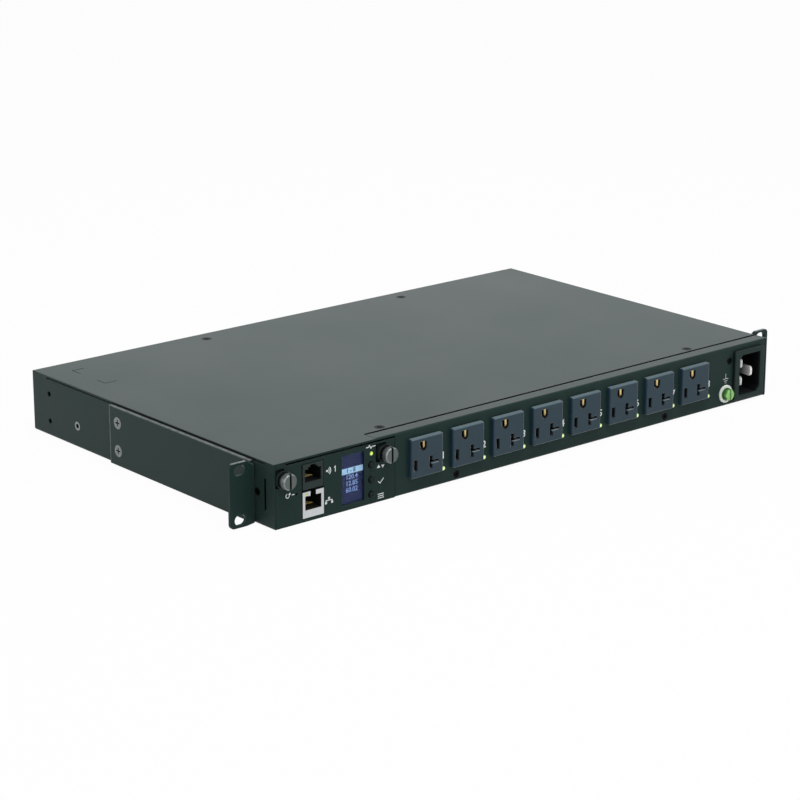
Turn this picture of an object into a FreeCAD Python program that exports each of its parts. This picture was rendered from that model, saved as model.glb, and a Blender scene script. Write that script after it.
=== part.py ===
"""Rack power distribution unit, one rack unit high, with eight outlets and a slide-in controller.

Sizes are millimetres. The pieces are drawn with the front panel's face at y = 0, the depth along +y,
the width along x and the height along +z; saving moves them so that the origin is the middle of the foot.
"""
import FreeCAD
import Part
import os
from math import sin, tan
from FreeCAD import Vector

# Chassis
CHASSIS_WIDTH = 440.0
CHASSIS_DEPTH = 267.0
CHASSIS_HEIGHT = 42.0
SHEET = 1.2                    # steel of the tray and the cover
BEND = 0.5                     # inside radius of each fold
SEAM = 0.3                     # open seam between flush sheets
COVER_SEAM = 0.6               # open seam between cover and front flange
COVER_EDGE = 0.2               # eased upper edges of the cover
FIT = 0.1                      # gap round a piece that sits in a hole or pocket
WALL_FOOT = 12.0               # part of the floor folded up with each side wall
FLANGE_DEPTH = 11.6            # top return flange of the front panel
FLANGE_TAB = 14.8              # flange that reaches over the module
FLANGE_STEP_DEPTH = 14.0       # lowered strip of the flange under the cover
REAR_FLANGE = 20.0
SIDE_GAP = 1.2                 # dark line between side wall and cover
SIDE_GAP_FRONT = 9.0
SIDE_GAP_REAR = 17.0

# Rack ears
EAR_SHEET = 2.0
EAR_BEND = 1.0
EAR_REACH = 20.0               # flange beyond the side wall
EAR_SETBACK = 17.5             # flange behind the front face
EAR_LENGTH = 155.0
EAR_FLANGE_MARGIN = 0.2        # flange inside the chassis height, top and bottom
EAR_PLATE_DROP = 1.8           # side plate below the chassis' top
EAR_PLATE_RISE = 0.5           # side plate above the chassis' foot
EAR_CORNER = 3.0
EAR_RELIEF = 4.5               # slanted cut beside the fold
RACK_HOLE_REACH = 12.55        # slot centre beyond the side wall
RACK_HOLE_PITCH = 31.75
RACK_SLOT_LENGTH = 8.4
RACK_SLOT_HEIGHT = 6.6
EAR_SCREW_INSET = 9.1          # screws before the rear end of the ear
EAR_SCREW_PITCH = 19.0
EAR_SCREW_DROP = 0.9           # middle of the pair below mid height
EAR_SCREW_HEAD = 8.0
EAR_SCREW_SHANK = 4.0

# Side walls
SPARE_HOLE_INSET = 19.7        # second place for the ear screws, before the rear wall
SPARE_HOLE = 3.8
WALL_SLOT = 1.8                # upright slot in the left wall beside the module
WALL_SLOT_PLACE = 8.6
WALL_SLOT_RISE = 10.2          # half its height
INSERT_INSET = 53.0
INSERT_DROP = 6.0
INSERT_OUTER = 6.0
INSERT_BORE = 3.2
INSERT_COLLAR = 8.0
INSERT_COLLAR_DEPTH = 1.6

# Small black screws and cover screws
SCREW_HEAD = 5.2
SCREW_SHANK = 2.9
SCREW_LENGTH = 6.0
COVER_SCREW_HEAD = 7.0
COVER_SCREW_LENGTH = 5.0
FRONT_COVER_SCREWS = (-122.7, 156.1)
REAR_COVER_SCREWS = (-83.5, 96.6)
FRONT_SCREW_ROW = 17.1
REAR_SCREW_INSET = 12.4
MARK_LEFT = 19.6               # corner marks on the cover, from its left edge
MARK_REAR = 18.7
MARK_SPAN = 38.9
MARK_ARM = 9.5
MARK_WIDTH = 0.7
MARK_DEPTH = 0.25

# Controller module
MODULE_WIDTH = 93.8
MODULE_TOP_GAP = 1.4
MODULE_SHEET = 1.2
CORNER_LIP = 8.0               # left corner of the module plate that reaches the cover
PLATE_FOOT = 0.25              # lower edge of the module plate above the foot
NOTCH_REACH = 8.3              # notch left of each thumbscrew's axis
NOTCH_HEIGHT = 12.4
NOTCH_RISE = 1.4               # middle of the notch above the axis
TAB_SETBACK = 3.4              # frame tabs behind the plate's face
FRAME_DEPTH = 21.8
TAB_WIDTH = 11.4
FRAME_LIP = 11.0               # lips of the frame behind the plate
BRACKET_GAP = 0.8              # chassis brackets behind the frame tabs
BRACKET_REACH = 11.3
BRACKET_FLANGE = 14.0
BRACKET_DROP = 13.0            # foot of the brackets below mid height
BRACKET_TOP = 16.8
BRACKET_SCREW = 16.4           # bracket screw behind the front face
BOARD = 1.6
CONTROL_BOARD_DEPTH = 17.0
CONTROL_BOARD_INSET = 12.2     # from the left edge of the plate
CONTROL_BOARD_WIDTH = 67.5
CONTROL_BOARD_MARGIN = 3.2
BOARD_POST = 5.0
BOARD_POST_INSET = 4.0

# Thumbscrews
LEFT_THUMB_INSET = 6.5         # axes from the edges of the module plate
RIGHT_THUMB_INSET = 7.1
THUMB_RISE = 9.8
KNOB_PROUD = 6.5
KNOB_DIAMETER = 10.4
KNOB_REAR = 2.0
KNOB_CHAMFER = 0.7
KNOB_RIBS = 36
KNOB_RIB_DEPTH = 0.3
KNOB_SLOT = 1.5
KNOB_SLOT_DEPTH = 2.0
THUMB_SHANK = 4.0
THUMB_TIP = 15.0
SLEEVE_OUTER = 11.7
SLEEVE_WALL = 0.3
SLEEVE_PROUD = 0.5
SLEEVE_FLOOR = 1.0
SLEEVE_NECK = 6.6
SLEEVE_NECK_BORE = 4.4

# Jacks, display and buttons of the module, places from the plate's left edge and from mid height
JACK_PLACE = 28.4
JACK_PROUD = 0.4
JACK_GAP = 0.4
SENSOR_WIDTH = 15.8
SENSOR_HEIGHT = 16.2
SENSOR_RISE = 8.1
NETWORK_WIDTH = 16.4
NETWORK_HEIGHT = 16.7
NETWORK_DROP = 9.85
NETWORK_SHELL = 0.5
PLUG_WIDTH = 12.6              # jack opening
LATCH_WIDTH = 7.6
LATCH_HEIGHT = 1.3
LATCH_SLOT = 4.3
JACK_DEPTH = 12.0
SENSOR_FLOOR = 4.5             # openings above the jacks' lower edges
SENSOR_OPEN = 8.3              # floor to shoulder
NETWORK_FLOOR = 4.9
NETWORK_OPEN = 8.9
LINK_LIGHT = 1.5               # square light guide above the network opening's left shoulder
LINK_LIGHT_PLACE = 4.9         # left of the jack's middle
LINK_LIGHT_RISE = 0.9          # above the shoulder
CONTACT_COUNT = 8
CONTACT_PITCH = 1.02
CONTACT_WIDTH = 0.46
CONTACT_TIP = 5.4              # free ends behind the front face
CONTACT_RISE = 2.0             # free ends above the floor
CONTACT_ROOT = 0.4             # fixed ends above the floor
DISPLAY_PLACE = 60.2
DISPLAY_WIDTH = 17.8
DISPLAY_HEIGHT = 32.2
DISPLAY_DROP = 0.95
DISPLAY_BORDER = 1.0
WINDOW_DEPTH = 1.0
DISPLAY_GAP = 0.2              # panel behind the window
DISPLAY_DEPTH = 3.0
BUTTON_PLACE = 74.7
BUTTON_DROP = 4.8              # middle button below mid height
BUTTON_PITCH = 9.7
BUTTON_DIAMETER = 4.0
BUTTON_GAP = 0.45
BUTTON_PROUD = 1.5
BUTTON_COLLAR = 6.2
BUTTON_COLLAR_DEPTH = 1.0
BUTTON_STEM = 2.4
SWITCH_SIZE = 6.0
SWITCH_DEPTH = 4.0
SWITCH_WELL = 2.6
STEM_ENTRY = 1.0
STATUS_RISE = 12.3
STATUS_DIAMETER = 2.8
STATUS_PROUD = 0.4
RESET_PLACE = 15.7
RESET_DROP = 1.2
RESET_HOLE = 1.8
RESET_REACH = 7.0
RESET_SWITCH_SIZE = 4.0

# Plug and socket between module and power board
PLUG_BLOCK_WIDTH = 30.0
PLUG_BLOCK_HEIGHT = 8.0
PLUG_BLOCK_RISE = 2.0          # above the power board
PLUG_BLOCK_REAR = 36.0
SOCKET_FRONT = 29.0
SOCKET_REAR = 42.0
SOCKET_WALL = 2.0

# Outlets
OUTLET_COUNT = 8
MODULE_ZONE = 102.25           # left end of the outlet row from the chassis side
INLET_ZONE = 57.75             # right end of the outlet row from the chassis side
OUTLET_WIDTH = 26.9
OUTLET_HEIGHT = 26.2
OUTLET_RISE = 2.2
OUTLET_PROUD = 3.0
OUTLET_CORNER = 1.2
OUTLET_EDGE = 0.9
OUTLET_LIP = 1.1
OUTLET_DEPTH = 20.0
OUTLET_WALL = 2.0
BARB_LENGTH = 8.0
BARB_DEPTH = 4.0
BARB_RISE = 0.7
BLADE_SHIFT = 3.15             # blade pair left of the outlet's middle
BLADE_DROP = 4.8               # blades below the outlet's middle
BLADE_PITCH = 12.7
LINE_SLOT_WIDTH = 2.4
LINE_SLOT_HEIGHT = 7.0
NEUTRAL_SLOT_WIDTH = 2.2
NEUTRAL_SLOT_HEIGHT = 8.3
NEUTRAL_ARM = 6.3
NEUTRAL_ARM_HEIGHT = 1.9
EARTH_OFFSET = 11.9            # earth hole above the blades
EARTH_WIDTH = 5.2
EARTH_HEIGHT = 6.2
SLOT_EDGE = 0.45               # chamfer round the slots
CLIP_SHEET = 0.5
CLIP_HEIGHT = 4.8
BLADE_CLIP_SETBACK = 1.4       # clips behind the outlet's front wall
EARTH_CLIP_SETBACK = 0.2
BUS_SHEET = 0.8
EARTH_BUS_HEIGHT = 6.0
NEUTRAL_BUS_HEIGHT = 2.2
NEUTRAL_BUS_DROP = 4.6
BUS_OVERHANG = 8.0
LIGHT_GAP = 2.4                # light's axis beside the outlet
LIGHT_DROP = 10.2              # light below mid height
LIGHT_DIAMETER = 3.0
LIGHT_PROUD = 0.6

# Boards behind the outlets
OUTLET_BOARD_GAP = 6.0         # outlet board behind the outlets
OUTLET_BOARD_HEIGHT = 28.0
TAIL_LENGTH = 1.5
TAIL_SHEET = 0.8
STANDOFF_HEIGHT = 6.0
STANDOFF_DIAMETER = 6.0
POWER_BOARD_GAP = 2.2          # power board behind the module
POWER_BOARD_DEPTH = 126.0
POWER_BOARD_LEFT = 15.0        # inside the left wall
STANDOFF_INSET = 7.5
BOARD_SCREW_HEAD = 5.5
BOARD_SCREW_RISE = 2.0
BOARD_SCREW_SHANK = 2.8
BOARD_SCREW_DEPTH = 5.0
RELAY_WIDTH = 28.5
RELAY_DEPTH = 15.0
RELAY_HEIGHT = 20.5
RELAY_FRONT = 46.0
RELAY_EDGE = 1.0
SUPPLY_WIDTH = 54.0
SUPPLY_DEPTH = 34.0
SUPPLY_HEIGHT = 22.0
SUPPLY_PLACE = 40.0            # from the board's left end
SUPPLY_FRONT = 82.0

# Inlet and earthing screw
INLET_PLACE = 19.9             # middle of the bezel from the right side of the chassis
INLET_DROP = 0.6
INLET_WIDTH = 29.6
INLET_HEIGHT = 36.0
INLET_PROUD = 2.7
INLET_CORNER = 2.0
INLET_EDGE = 0.7
INLET_LIP = 2.2
INLET_DEPTH = 24.0
INLET_OPEN_WIDTH = 21.3
INLET_OPEN_HEIGHT = 29.2
INLET_OPEN_CUT = 3.2           # slanted corners of the opening
INLET_FLOOR = 18.0
PIN_WIDTH = 7.2
PIN_SHEET = 2.0
LIVE_PINS = -3.15              # pins beside the inlet's middle
EARTH_PIN = 4.85
PIN_PITCH = 13.0
EARTH_PIN_TIP = 0.0            # the earth pin is longer, so that it meets first
LIVE_PIN_TIP = 2.0
PIN_ROUND = 2.2                # rounded corners of the pin's tip
PIN_TAIL = 8.0
PIN_TAIL_WIDTH = 5.2
PIN_TAIL_SHEET = 0.8
WIRE_DIAMETER = 3.6
WIRE_BEND = 4.0
WIRE_ROW = 70.0
WIRE_SPACE = 6.0
WIRE_INSET = 8.0               # line wire's end inside the power board's right edge
EARTH_WIRE_ROW = 46.0
EARTH_BUS_END = 10.0           # earth bus beyond the last light
EARTH_SCREW_PLACE = 41.6       # from the right side of the chassis
EARTH_SCREW_DROP = 12.0
WASHER_DIAMETER = 12.6
WASHER_DEPTH = 0.9
EARTH_HEAD = 7.4               # across the flats
EARTH_HEAD_DEPTH = 3.4
EARTH_COLLAR = 8.9
EARTH_COLLAR_DEPTH = 0.9
EARTH_SHANK = 4.0
EARTH_SHANK_DEPTH = 9.0
EARTH_SLOT = 1.2
EARTH_SLOT_DEPTH = 1.6
LOW_SCREW_SHIFTS = (-7.75, 8.15)   # panel screws under the second outlet and the last but one
LOW_SCREW_RISE = 4.4
EARTH_SIGN_SCREW = 3.3         # panel screw above the earthing screw, beside its axis
EARTH_SIGN_SCREW_RISE = 23.3

# Shared places
MID = CHASSIS_HEIGHT / 2
SIDE = CHASSIS_WIDTH / 2
INNER = SIDE - SHEET
UNDER_COVER = CHASSIS_HEIGHT - SHEET
MODULE_LEFT = -INNER + SEAM
MODULE_RIGHT = MODULE_LEFT + MODULE_WIDTH
PANEL_LEFT = MODULE_RIGHT + SEAM
FLANGE_LEFT = MODULE_RIGHT - FLANGE_TAB
FRAME_FOOT = SHEET + SEAM
MODULE_TOP = UNDER_COVER - MODULE_TOP_GAP
THUMB_Z = MID + THUMB_RISE
THUMB_XS = (MODULE_LEFT + LEFT_THUMB_INSET, MODULE_RIGHT - RIGHT_THUMB_INSET)
BRACKET_DEPTH = TAB_SETBACK + MODULE_SHEET + BRACKET_GAP
ROW_LEFT = -SIDE + MODULE_ZONE
OUTLET_PITCH = (SIDE - INLET_ZONE - ROW_LEFT) / OUTLET_COUNT
OUTLET_XS = [ROW_LEFT + OUTLET_PITCH * (number + 0.5) for number in range(OUTLET_COUNT)]
OUTLET_Z = MID + OUTLET_RISE
BLADE_Z = OUTLET_Z - BLADE_DROP
EARTH_Z = BLADE_Z + EARTH_OFFSET
LINE_X = -BLADE_SHIFT - BLADE_PITCH / 2
NEUTRAL_X = -BLADE_SHIFT + BLADE_PITCH / 2
LIGHT_XS = [x + OUTLET_WIDTH / 2 + LIGHT_GAP for x in OUTLET_XS]
LIGHT_Z = MID - LIGHT_DROP
POWER_BOARD_FOOT = SHEET + STANDOFF_HEIGHT
POWER_BOARD_TOP = POWER_BOARD_FOOT + BOARD
POWER_BOARD_FRONT = FRAME_DEPTH + POWER_BOARD_GAP
POWER_BOARD_REAR = POWER_BOARD_FRONT + POWER_BOARD_DEPTH
OUTLET_BOARD_DEPTH = OUTLET_DEPTH + OUTLET_BOARD_GAP
ROW_RIGHT = SIDE - INLET_ZONE
JACK_X = MODULE_LEFT + JACK_PLACE
JACK_HALF = max(SENSOR_WIDTH, NETWORK_WIDTH) / 2 + JACK_GAP
DISPLAY_X = MODULE_LEFT + DISPLAY_PLACE
INLET_X = SIDE - INLET_PLACE
INLET_Z = MID - INLET_DROP
EARTH_SCREW_X = SIDE - EARTH_SCREW_PLACE
EARTH_SCREW_Z = MID - EARTH_SCREW_DROP
BUTTON_X = MODULE_LEFT + BUTTON_PLACE
BUTTON_ZS = [MID - BUTTON_DROP + BUTTON_PITCH * step for step in (1, 0, -1)]
ORIGIN = Vector(0, (KNOB_PROUD - CHASSIS_DEPTH) / 2, 0)
BACK = Vector(0, 1, 0)
UP = Vector(0, 0, 1)


def box(x0, x1, y0, y1, z0, z1):
    """Block between two corners."""
    return Part.makeBox(x1 - x0, y1 - y0, z1 - z0, Vector(x0, y0, z0))


def rod(x, z, diameter, y0, y1):
    """Round bar along the depth."""
    return Part.makeCylinder(diameter / 2, y1 - y0, Vector(x, y0, z), BACK)


def outline(points, radii, closed=True):
    """Wire through points with each corner rounded by its own radius."""
    corners = []
    for here, point in enumerate(points):
        back = (points[here - 1] - point).normalize()
        ahead = (points[(here + 1) % len(points)] - point).normalize()
        if radii[here] == 0:
            corners.append((point, point, None))
            continue
        half = back.getAngle(ahead) / 2
        middle = (back + ahead).normalize()
        run = radii[here] / tan(half)
        centre = point + middle * (radii[here] / sin(half))
        arc = Part.Arc(point + back * run, centre - middle * radii[here], point + ahead * run)
        corners.append((point + back * run, point + ahead * run, arc.toShape()))
    edges = []
    for here, (start, end, arc) in enumerate(corners):
        if arc:
            edges.append(arc)
        if here == len(corners) - 1 and not closed:
            break
        after = corners[(here + 1) % len(corners)][0]
        if end.distanceToPoint(after) > 1e-6:
            edges.append(Part.makeLine(end, after))
    return Part.Wire(edges)


def block(x, z, width, height, corner, y0, y1):
    """Rounded rectangle seen from the front, run along the depth."""
    points = [Vector(x + i * width / 2, y0, z + j * height / 2)
              for i, j in ((-1, -1), (1, -1), (1, 1), (-1, 1))]
    return Part.Face(outline(points, [corner] * 4)).extrude(BACK * (y1 - y0))


def prism(points, run):
    """Straight-sided section run along a vector."""
    return Part.Face(Part.makePolygon(points + points[:1])).extrude(run)


def folded(path, sheet, bend, run):
    """Folded sheet: one face follows the path, the sheet lies to its left, run along a vector."""
    axis = Vector(run).normalize()
    legs = [(end - start).normalize() for start, end in zip(path, path[1:])]
    sides = [axis.cross(leg) for leg in legs]
    far = [path[0] + sides[0] * sheet]
    near_radii = [0]
    far_radii = [0]
    for here in range(1, len(path) - 1):
        one = sides[here - 1]
        two = sides[here]
        far.append(path[here] + (one + two) * (sheet / (1 + one.dot(two))))
        inward = legs[here - 1].cross(legs[here]).dot(axis) > 0
        near_radii.append(bend + sheet if inward else bend)
        far_radii.append(bend if inward else bend + sheet)
    far.append(path[-1] + sides[-1] * sheet)
    near_radii.append(0)
    far_radii.append(0)
    return Part.Face(outline(path + far[::-1], near_radii + far_radii[::-1])).extrude(run)


def turned(profile):
    """Piece turned about the height axis from radius and height pairs."""
    points = [Vector(radius, 0, height) for radius, height in profile]
    return Part.Face(Part.makePolygon(points + points[:1])).revolve(Vector(), UP, 360)


def placed(shape, at, outward):
    """Copy of a turned piece with its top at a point, facing outward."""
    copy = shape.copy()
    copy.Placement = FreeCAD.Placement(at, FreeCAD.Rotation(UP, outward))
    return copy


def mirrored(shape):
    """The same shape on the other side of the chassis."""
    return shape.mirror(Vector(), Vector(1, 0, 0))


def front_edges(shape, y):
    """Edges lying in one plane that faces the front."""
    return [edge for edge in shape.Edges if all(abs(point.Y - y) < 1e-6 for point in edge.Vertexes)]


def flat_screw(head, shank, length):
    """Countersunk screw with a cross recess."""
    sink = (head - shank) / 2
    screw = turned(((0, 0), (head / 2, 0), (shank / 2, -sink), (shank / 2, -length), (0, -length)))
    arm = head * 0.28
    slot = head * 0.06
    cross = box(-arm, arm, -slot, slot, -sink * 0.8, 1)
    return screw.cut(cross.fuse(box(-slot, slot, -arm, arm, -sink * 0.8, 1)))


def flat_hole(head, shank, length):
    """Countersunk hole with the fit gap round its screw."""
    sink = (head - shank) / 2
    wide = head / 2 + FIT
    narrow = shank / 2 + FIT
    return turned(((0, 1), (wide, 1), (wide, 0), (narrow, -sink), (narrow, -length), (0, -length)))


# Screw places shared by the screws and their holes
EAR_SCREW_Y = EAR_SETBACK + EAR_LENGTH - EAR_SCREW_INSET
EAR_SCREW_ZS = [MID - EAR_SCREW_DROP + side * EAR_SCREW_PITCH / 2 for side in (-1, 1)]
COVER_SCREWS = [Vector(x, FRONT_SCREW_ROW, CHASSIS_HEIGHT) for x in FRONT_COVER_SCREWS]
COVER_SCREWS += [Vector(x, CHASSIS_DEPTH - REAR_SCREW_INSET, CHASSIS_HEIGHT) for x in REAR_COVER_SCREWS]
PANEL_SCREWS = [Vector(x + shift, 0, LOW_SCREW_RISE)
                for x, shift in zip((OUTLET_XS[1], OUTLET_XS[-2]), LOW_SCREW_SHIFTS)]
PANEL_SCREWS.append(Vector(EARTH_SCREW_X + EARTH_SIGN_SCREW, 0, EARTH_SCREW_Z + EARTH_SIGN_SCREW_RISE))
BRACKET_SCREW_AT = Vector(-SIDE, BRACKET_SCREW, MID)
INSERT_AT = Vector(SIDE, CHASSIS_DEPTH - INSERT_INSET, MID - INSERT_DROP)
PIN_PLACES = {
    "line": (INLET_X + LIVE_PINS, INLET_Z + PIN_PITCH / 2),
    "neutral": (INLET_X + LIVE_PINS, INLET_Z - PIN_PITCH / 2),
    "earth": (INLET_X + EARTH_PIN, INLET_Z),
}


def side_wall(height):
    """Left side wall with its strip of floor and the recess under the cover's edge."""
    wall = folded([Vector(-SIDE + WALL_FOOT, 0, 0), Vector(-SIDE, 0, 0), Vector(-SIDE, 0, height)],
                  SHEET, BEND, BACK * CHASSIS_DEPTH)
    corner = SHEET + BEND
    wall = wall.cut(box(-INNER, -SIDE + WALL_FOOT, 0, corner, 0, corner))
    wall = wall.cut(box(-INNER, -SIDE + WALL_FOOT, CHASSIS_DEPTH - corner, CHASSIS_DEPTH, 0, corner))
    wall = wall.cut(box(-SIDE, -INNER, SIDE_GAP_FRONT, CHASSIS_DEPTH - SIDE_GAP_REAR,
                        UNDER_COVER - SIDE_GAP, CHASSIS_HEIGHT))
    for y in (EAR_SCREW_Y, CHASSIS_DEPTH - SPARE_HOLE_INSET):
        size = EAR_SCREW_SHANK + 2 * FIT if y == EAR_SCREW_Y else SPARE_HOLE
        for z in EAR_SCREW_ZS:
            outside = Vector(-SIDE - SHEET / 2, y, z)
            wall = wall.cut(Part.makeCylinder(size / 2, 2 * SHEET, outside, Vector(1, 0, 0)))
    inside = INSERT_AT - Vector(1.5 * SHEET, 0, 0)
    hole = Part.makeCylinder(INSERT_OUTER / 2 + FIT, 2 * SHEET, inside, Vector(1, 0, 0))
    return wall.cut(mirrored(hole))


def wall_slot(depth):
    """Cutter for the upright slot in the left wall, a given depth inward."""
    return box(-SIDE, -SIDE + depth, WALL_SLOT_PLACE - WALL_SLOT / 2, WALL_SLOT_PLACE + WALL_SLOT / 2,
               MID - WALL_SLOT_RISE, MID + WALL_SLOT_RISE)


def chassis_tray():
    """Floor, front panel with its stepped return flange, rear wall and the two side walls."""
    half = INNER - SEAM
    step = FLANGE_DEPTH - SHEET
    path = [Vector(-half, y, z) for y, z in (
        (FLANGE_DEPTH + FLANGE_STEP_DEPTH, UNDER_COVER), (FLANGE_DEPTH, UNDER_COVER), (step, CHASSIS_HEIGHT),
        (0, CHASSIS_HEIGHT), (0, 0), (CHASSIS_DEPTH, 0), (CHASSIS_DEPTH, UNDER_COVER),
        (CHASSIS_DEPTH - REAR_FLANGE, UNDER_COVER))]
    tray = folded(path, SHEET, BEND, Vector(2 * half, 0, 0))
    tray = tray.cut(box(-INNER, PANEL_LEFT, 0, SHEET + 2 * BEND, SHEET, UNDER_COVER))
    tray = tray.cut(box(-INNER, FLANGE_LEFT, 0, CHASSIS_DEPTH / 2, UNDER_COVER - 2 * SHEET, CHASSIS_HEIGHT))
    tray = tray.cut(box(-INNER, PANEL_LEFT, 0, MODULE_SHEET + SEAM, 0, SHEET + BEND))
    left = side_wall(UNDER_COVER).cut(wall_slot(SHEET))
    hole = flat_hole(SCREW_HEAD, SCREW_SHANK, SCREW_LENGTH)
    left = left.cut(placed(hole, BRACKET_SCREW_AT, Vector(-1, 0, 0)))
    right = mirrored(side_wall(CHASSIS_HEIGHT))
    right = right.cut(box(INNER, SIDE, FLANGE_DEPTH, CHASSIS_DEPTH, UNDER_COVER, CHASSIS_HEIGHT))
    tray = tray.fuse([left, right]).removeSplitter()
    for x in OUTLET_XS:
        tray = tray.cut(block(x, OUTLET_Z, OUTLET_WIDTH - 2 * OUTLET_LIP + 2 * FIT,
                              OUTLET_HEIGHT - 2 * OUTLET_LIP + 2 * FIT, OUTLET_CORNER, -1, 2 * SHEET))
    for x in LIGHT_XS:
        tray = tray.cut(rod(x, LIGHT_Z, LIGHT_DIAMETER + 2 * FIT, -1, 2 * SHEET))
    tray = tray.cut(block(INLET_X, INLET_Z, INLET_WIDTH - 2 * INLET_LIP + 2 * FIT,
                          INLET_HEIGHT - 2 * INLET_LIP + 2 * FIT, INLET_CORNER, -1, 2 * SHEET))
    tray = tray.cut(rod(EARTH_SCREW_X, EARTH_SCREW_Z, EARTH_SHANK + 2 * FIT, -1, 2 * SHEET))
    for at in PANEL_SCREWS:
        tray = tray.cut(placed(hole, at, -BACK))
    hole = flat_hole(COVER_SCREW_HEAD, SCREW_SHANK, COVER_SCREW_LENGTH)
    for at in COVER_SCREWS:
        tray = tray.cut(placed(hole, at, UP))
    return tray


def top_cover():
    """Flat cover with a tongue over the module, eased edges, screw holes and two corner marks."""
    tongue = FLANGE_LEFT - SEAM
    seam = FLANGE_DEPTH + COVER_SEAM
    plan = [Vector(x, y, UNDER_COVER) for x, y in (
        (-SIDE, 0), (tongue, 0), (tongue, seam), (SIDE, seam), (SIDE, CHASSIS_DEPTH), (-SIDE, CHASSIS_DEPTH))]
    cover = prism(plan, UP * SHEET)
    rim = [edge for edge in cover.Edges if all(point.Z > UNDER_COVER + SHEET / 2 for point in edge.Vertexes)]
    cover = cover.makeFillet(COVER_EDGE, rim)
    hole = flat_hole(COVER_SCREW_HEAD, SCREW_SHANK, COVER_SCREW_LENGTH)
    for at in COVER_SCREWS:
        cover = cover.cut(placed(hole, at, UP))
    x = -SIDE + MARK_LEFT
    top = CHASSIS_HEIGHT
    for y, turn in ((CHASSIS_DEPTH - MARK_REAR, -1), (CHASSIS_DEPTH - MARK_REAR - MARK_SPAN, 1)):
        ends = sorted((y, y + turn * MARK_ARM))
        cover = cover.cut(box(x, x + MARK_WIDTH, ends[0], ends[1], top - MARK_DEPTH, top + 1))
        cover = cover.cut(box(x, x + MARK_ARM, y - MARK_WIDTH / 2, y + MARK_WIDTH / 2,
                              top - MARK_DEPTH, top + 1))
    return cover


def rack_ear():
    """Left rack ear: slotted flange folded to a long side plate."""
    tip = -SIDE - EAR_REACH
    rear = EAR_SETBACK + EAR_LENGTH
    foot = EAR_FLANGE_MARGIN
    top = CHASSIS_HEIGHT - EAR_FLANGE_MARGIN
    path = [Vector(x, y, foot) for x, y in ((tip, EAR_SETBACK), (-SIDE, EAR_SETBACK), (-SIDE, rear))]
    ear = folded(path, EAR_SHEET, EAR_BEND, UP * (top - foot))
    corners = [edge for edge in ear.Edges if all(point.X < tip + 1e-6 for point in edge.Vertexes)
               and abs(edge.Vertexes[0].Z - edge.Vertexes[1].Z) < 1e-6]
    ear = ear.makeFillet(EAR_CORNER, corners)
    fold = -SIDE - EAR_SHEET - EAR_BEND
    for edge, rim in ((foot, EAR_PLATE_RISE), (top, CHASSIS_HEIGHT - EAR_PLATE_DROP)):
        slant = rim + (rim - edge)
        relief = [Vector(x, EAR_SETBACK, z) for x, z in (
            (fold - EAR_RELIEF, edge), (fold, slant), (-SIDE, slant), (-SIDE, edge))]
        ear = ear.cut(prism(relief, BACK * (EAR_SHEET + EAR_BEND)))
        low, high = sorted((edge, rim))
        ear = ear.cut(box(-SIDE - EAR_SHEET, -SIDE, EAR_SETBACK + EAR_SHEET + EAR_BEND, rear, low, high))
    for side in (-1, 1):
        z = MID + side * RACK_HOLE_PITCH / 2
        slot = block(-SIDE - RACK_HOLE_REACH, z, RACK_SLOT_LENGTH, RACK_SLOT_HEIGHT,
                     RACK_SLOT_HEIGHT * 0.4999, EAR_SETBACK - 1, EAR_SETBACK + 2 * EAR_SHEET)
        ear = ear.cut(slot)
    hole = flat_hole(EAR_SCREW_HEAD, EAR_SCREW_SHANK, EAR_SHEET * 2)
    for z in EAR_SCREW_ZS:
        ear = ear.cut(placed(hole, Vector(-SIDE - EAR_SHEET, EAR_SCREW_Y, z), Vector(-1, 0, 0)))
    return ear


def ear_screws():
    """Countersunk screws that hold the ears."""
    screw = flat_screw(EAR_SCREW_HEAD, EAR_SCREW_SHANK, 3 * EAR_SHEET)
    places = [Vector(-SIDE - EAR_SHEET, EAR_SCREW_Y, z) for z in EAR_SCREW_ZS]
    left = [placed(screw, at, Vector(-1, 0, 0)) for at in places]
    return left + [mirrored(one) for one in left]


def side_inserts():
    """Clinch inserts pressed into the side walls from inside."""
    bore = INSERT_BORE / 2
    rear = -SHEET - INSERT_COLLAR_DEPTH
    insert = turned(((bore, 0), (INSERT_OUTER / 2, 0), (INSERT_OUTER / 2, -SHEET),
                     (INSERT_COLLAR / 2, -SHEET), (INSERT_COLLAR / 2, rear), (bore, rear)))
    right = placed(insert, INSERT_AT, Vector(1, 0, 0))
    return [mirrored(right), right]


def black_screws():
    """Small countersunk screws in the front panel and the left side wall."""
    screw = flat_screw(SCREW_HEAD, SCREW_SHANK, SCREW_LENGTH)
    panel = [placed(screw, at, -BACK) for at in PANEL_SCREWS]
    return panel + [placed(screw, BRACKET_SCREW_AT, Vector(-1, 0, 0))]


def cover_screws():
    """Countersunk screws in the top cover."""
    screw = flat_screw(COVER_SCREW_HEAD, SCREW_SHANK, COVER_SCREW_LENGTH)
    return [placed(screw, at, UP) for at in COVER_SCREWS]


def left_module_bracket():
    """Threaded bracket on the left wall, slotted like the wall."""
    foot = MID - BRACKET_DROP
    rear = BRACKET_DEPTH + BRACKET_FLANGE
    path = [Vector(x, y, foot) for x, y in (
        (-INNER, rear), (-INNER, BRACKET_DEPTH), (-INNER + BRACKET_REACH, BRACKET_DEPTH))]
    bracket = folded(path, SHEET, BEND, UP * (BRACKET_DROP + BRACKET_TOP))
    bracket = bracket.cut(wall_slot(3 * SHEET))
    bracket = bracket.cut(rod(THUMB_XS[0], THUMB_Z, THUMB_SHANK + 2 * FIT, 0, rear))
    hole = flat_hole(SCREW_HEAD, SCREW_SHANK, SCREW_LENGTH)
    return bracket.cut(placed(hole, BRACKET_SCREW_AT, Vector(-1, 0, 0)))


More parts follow.
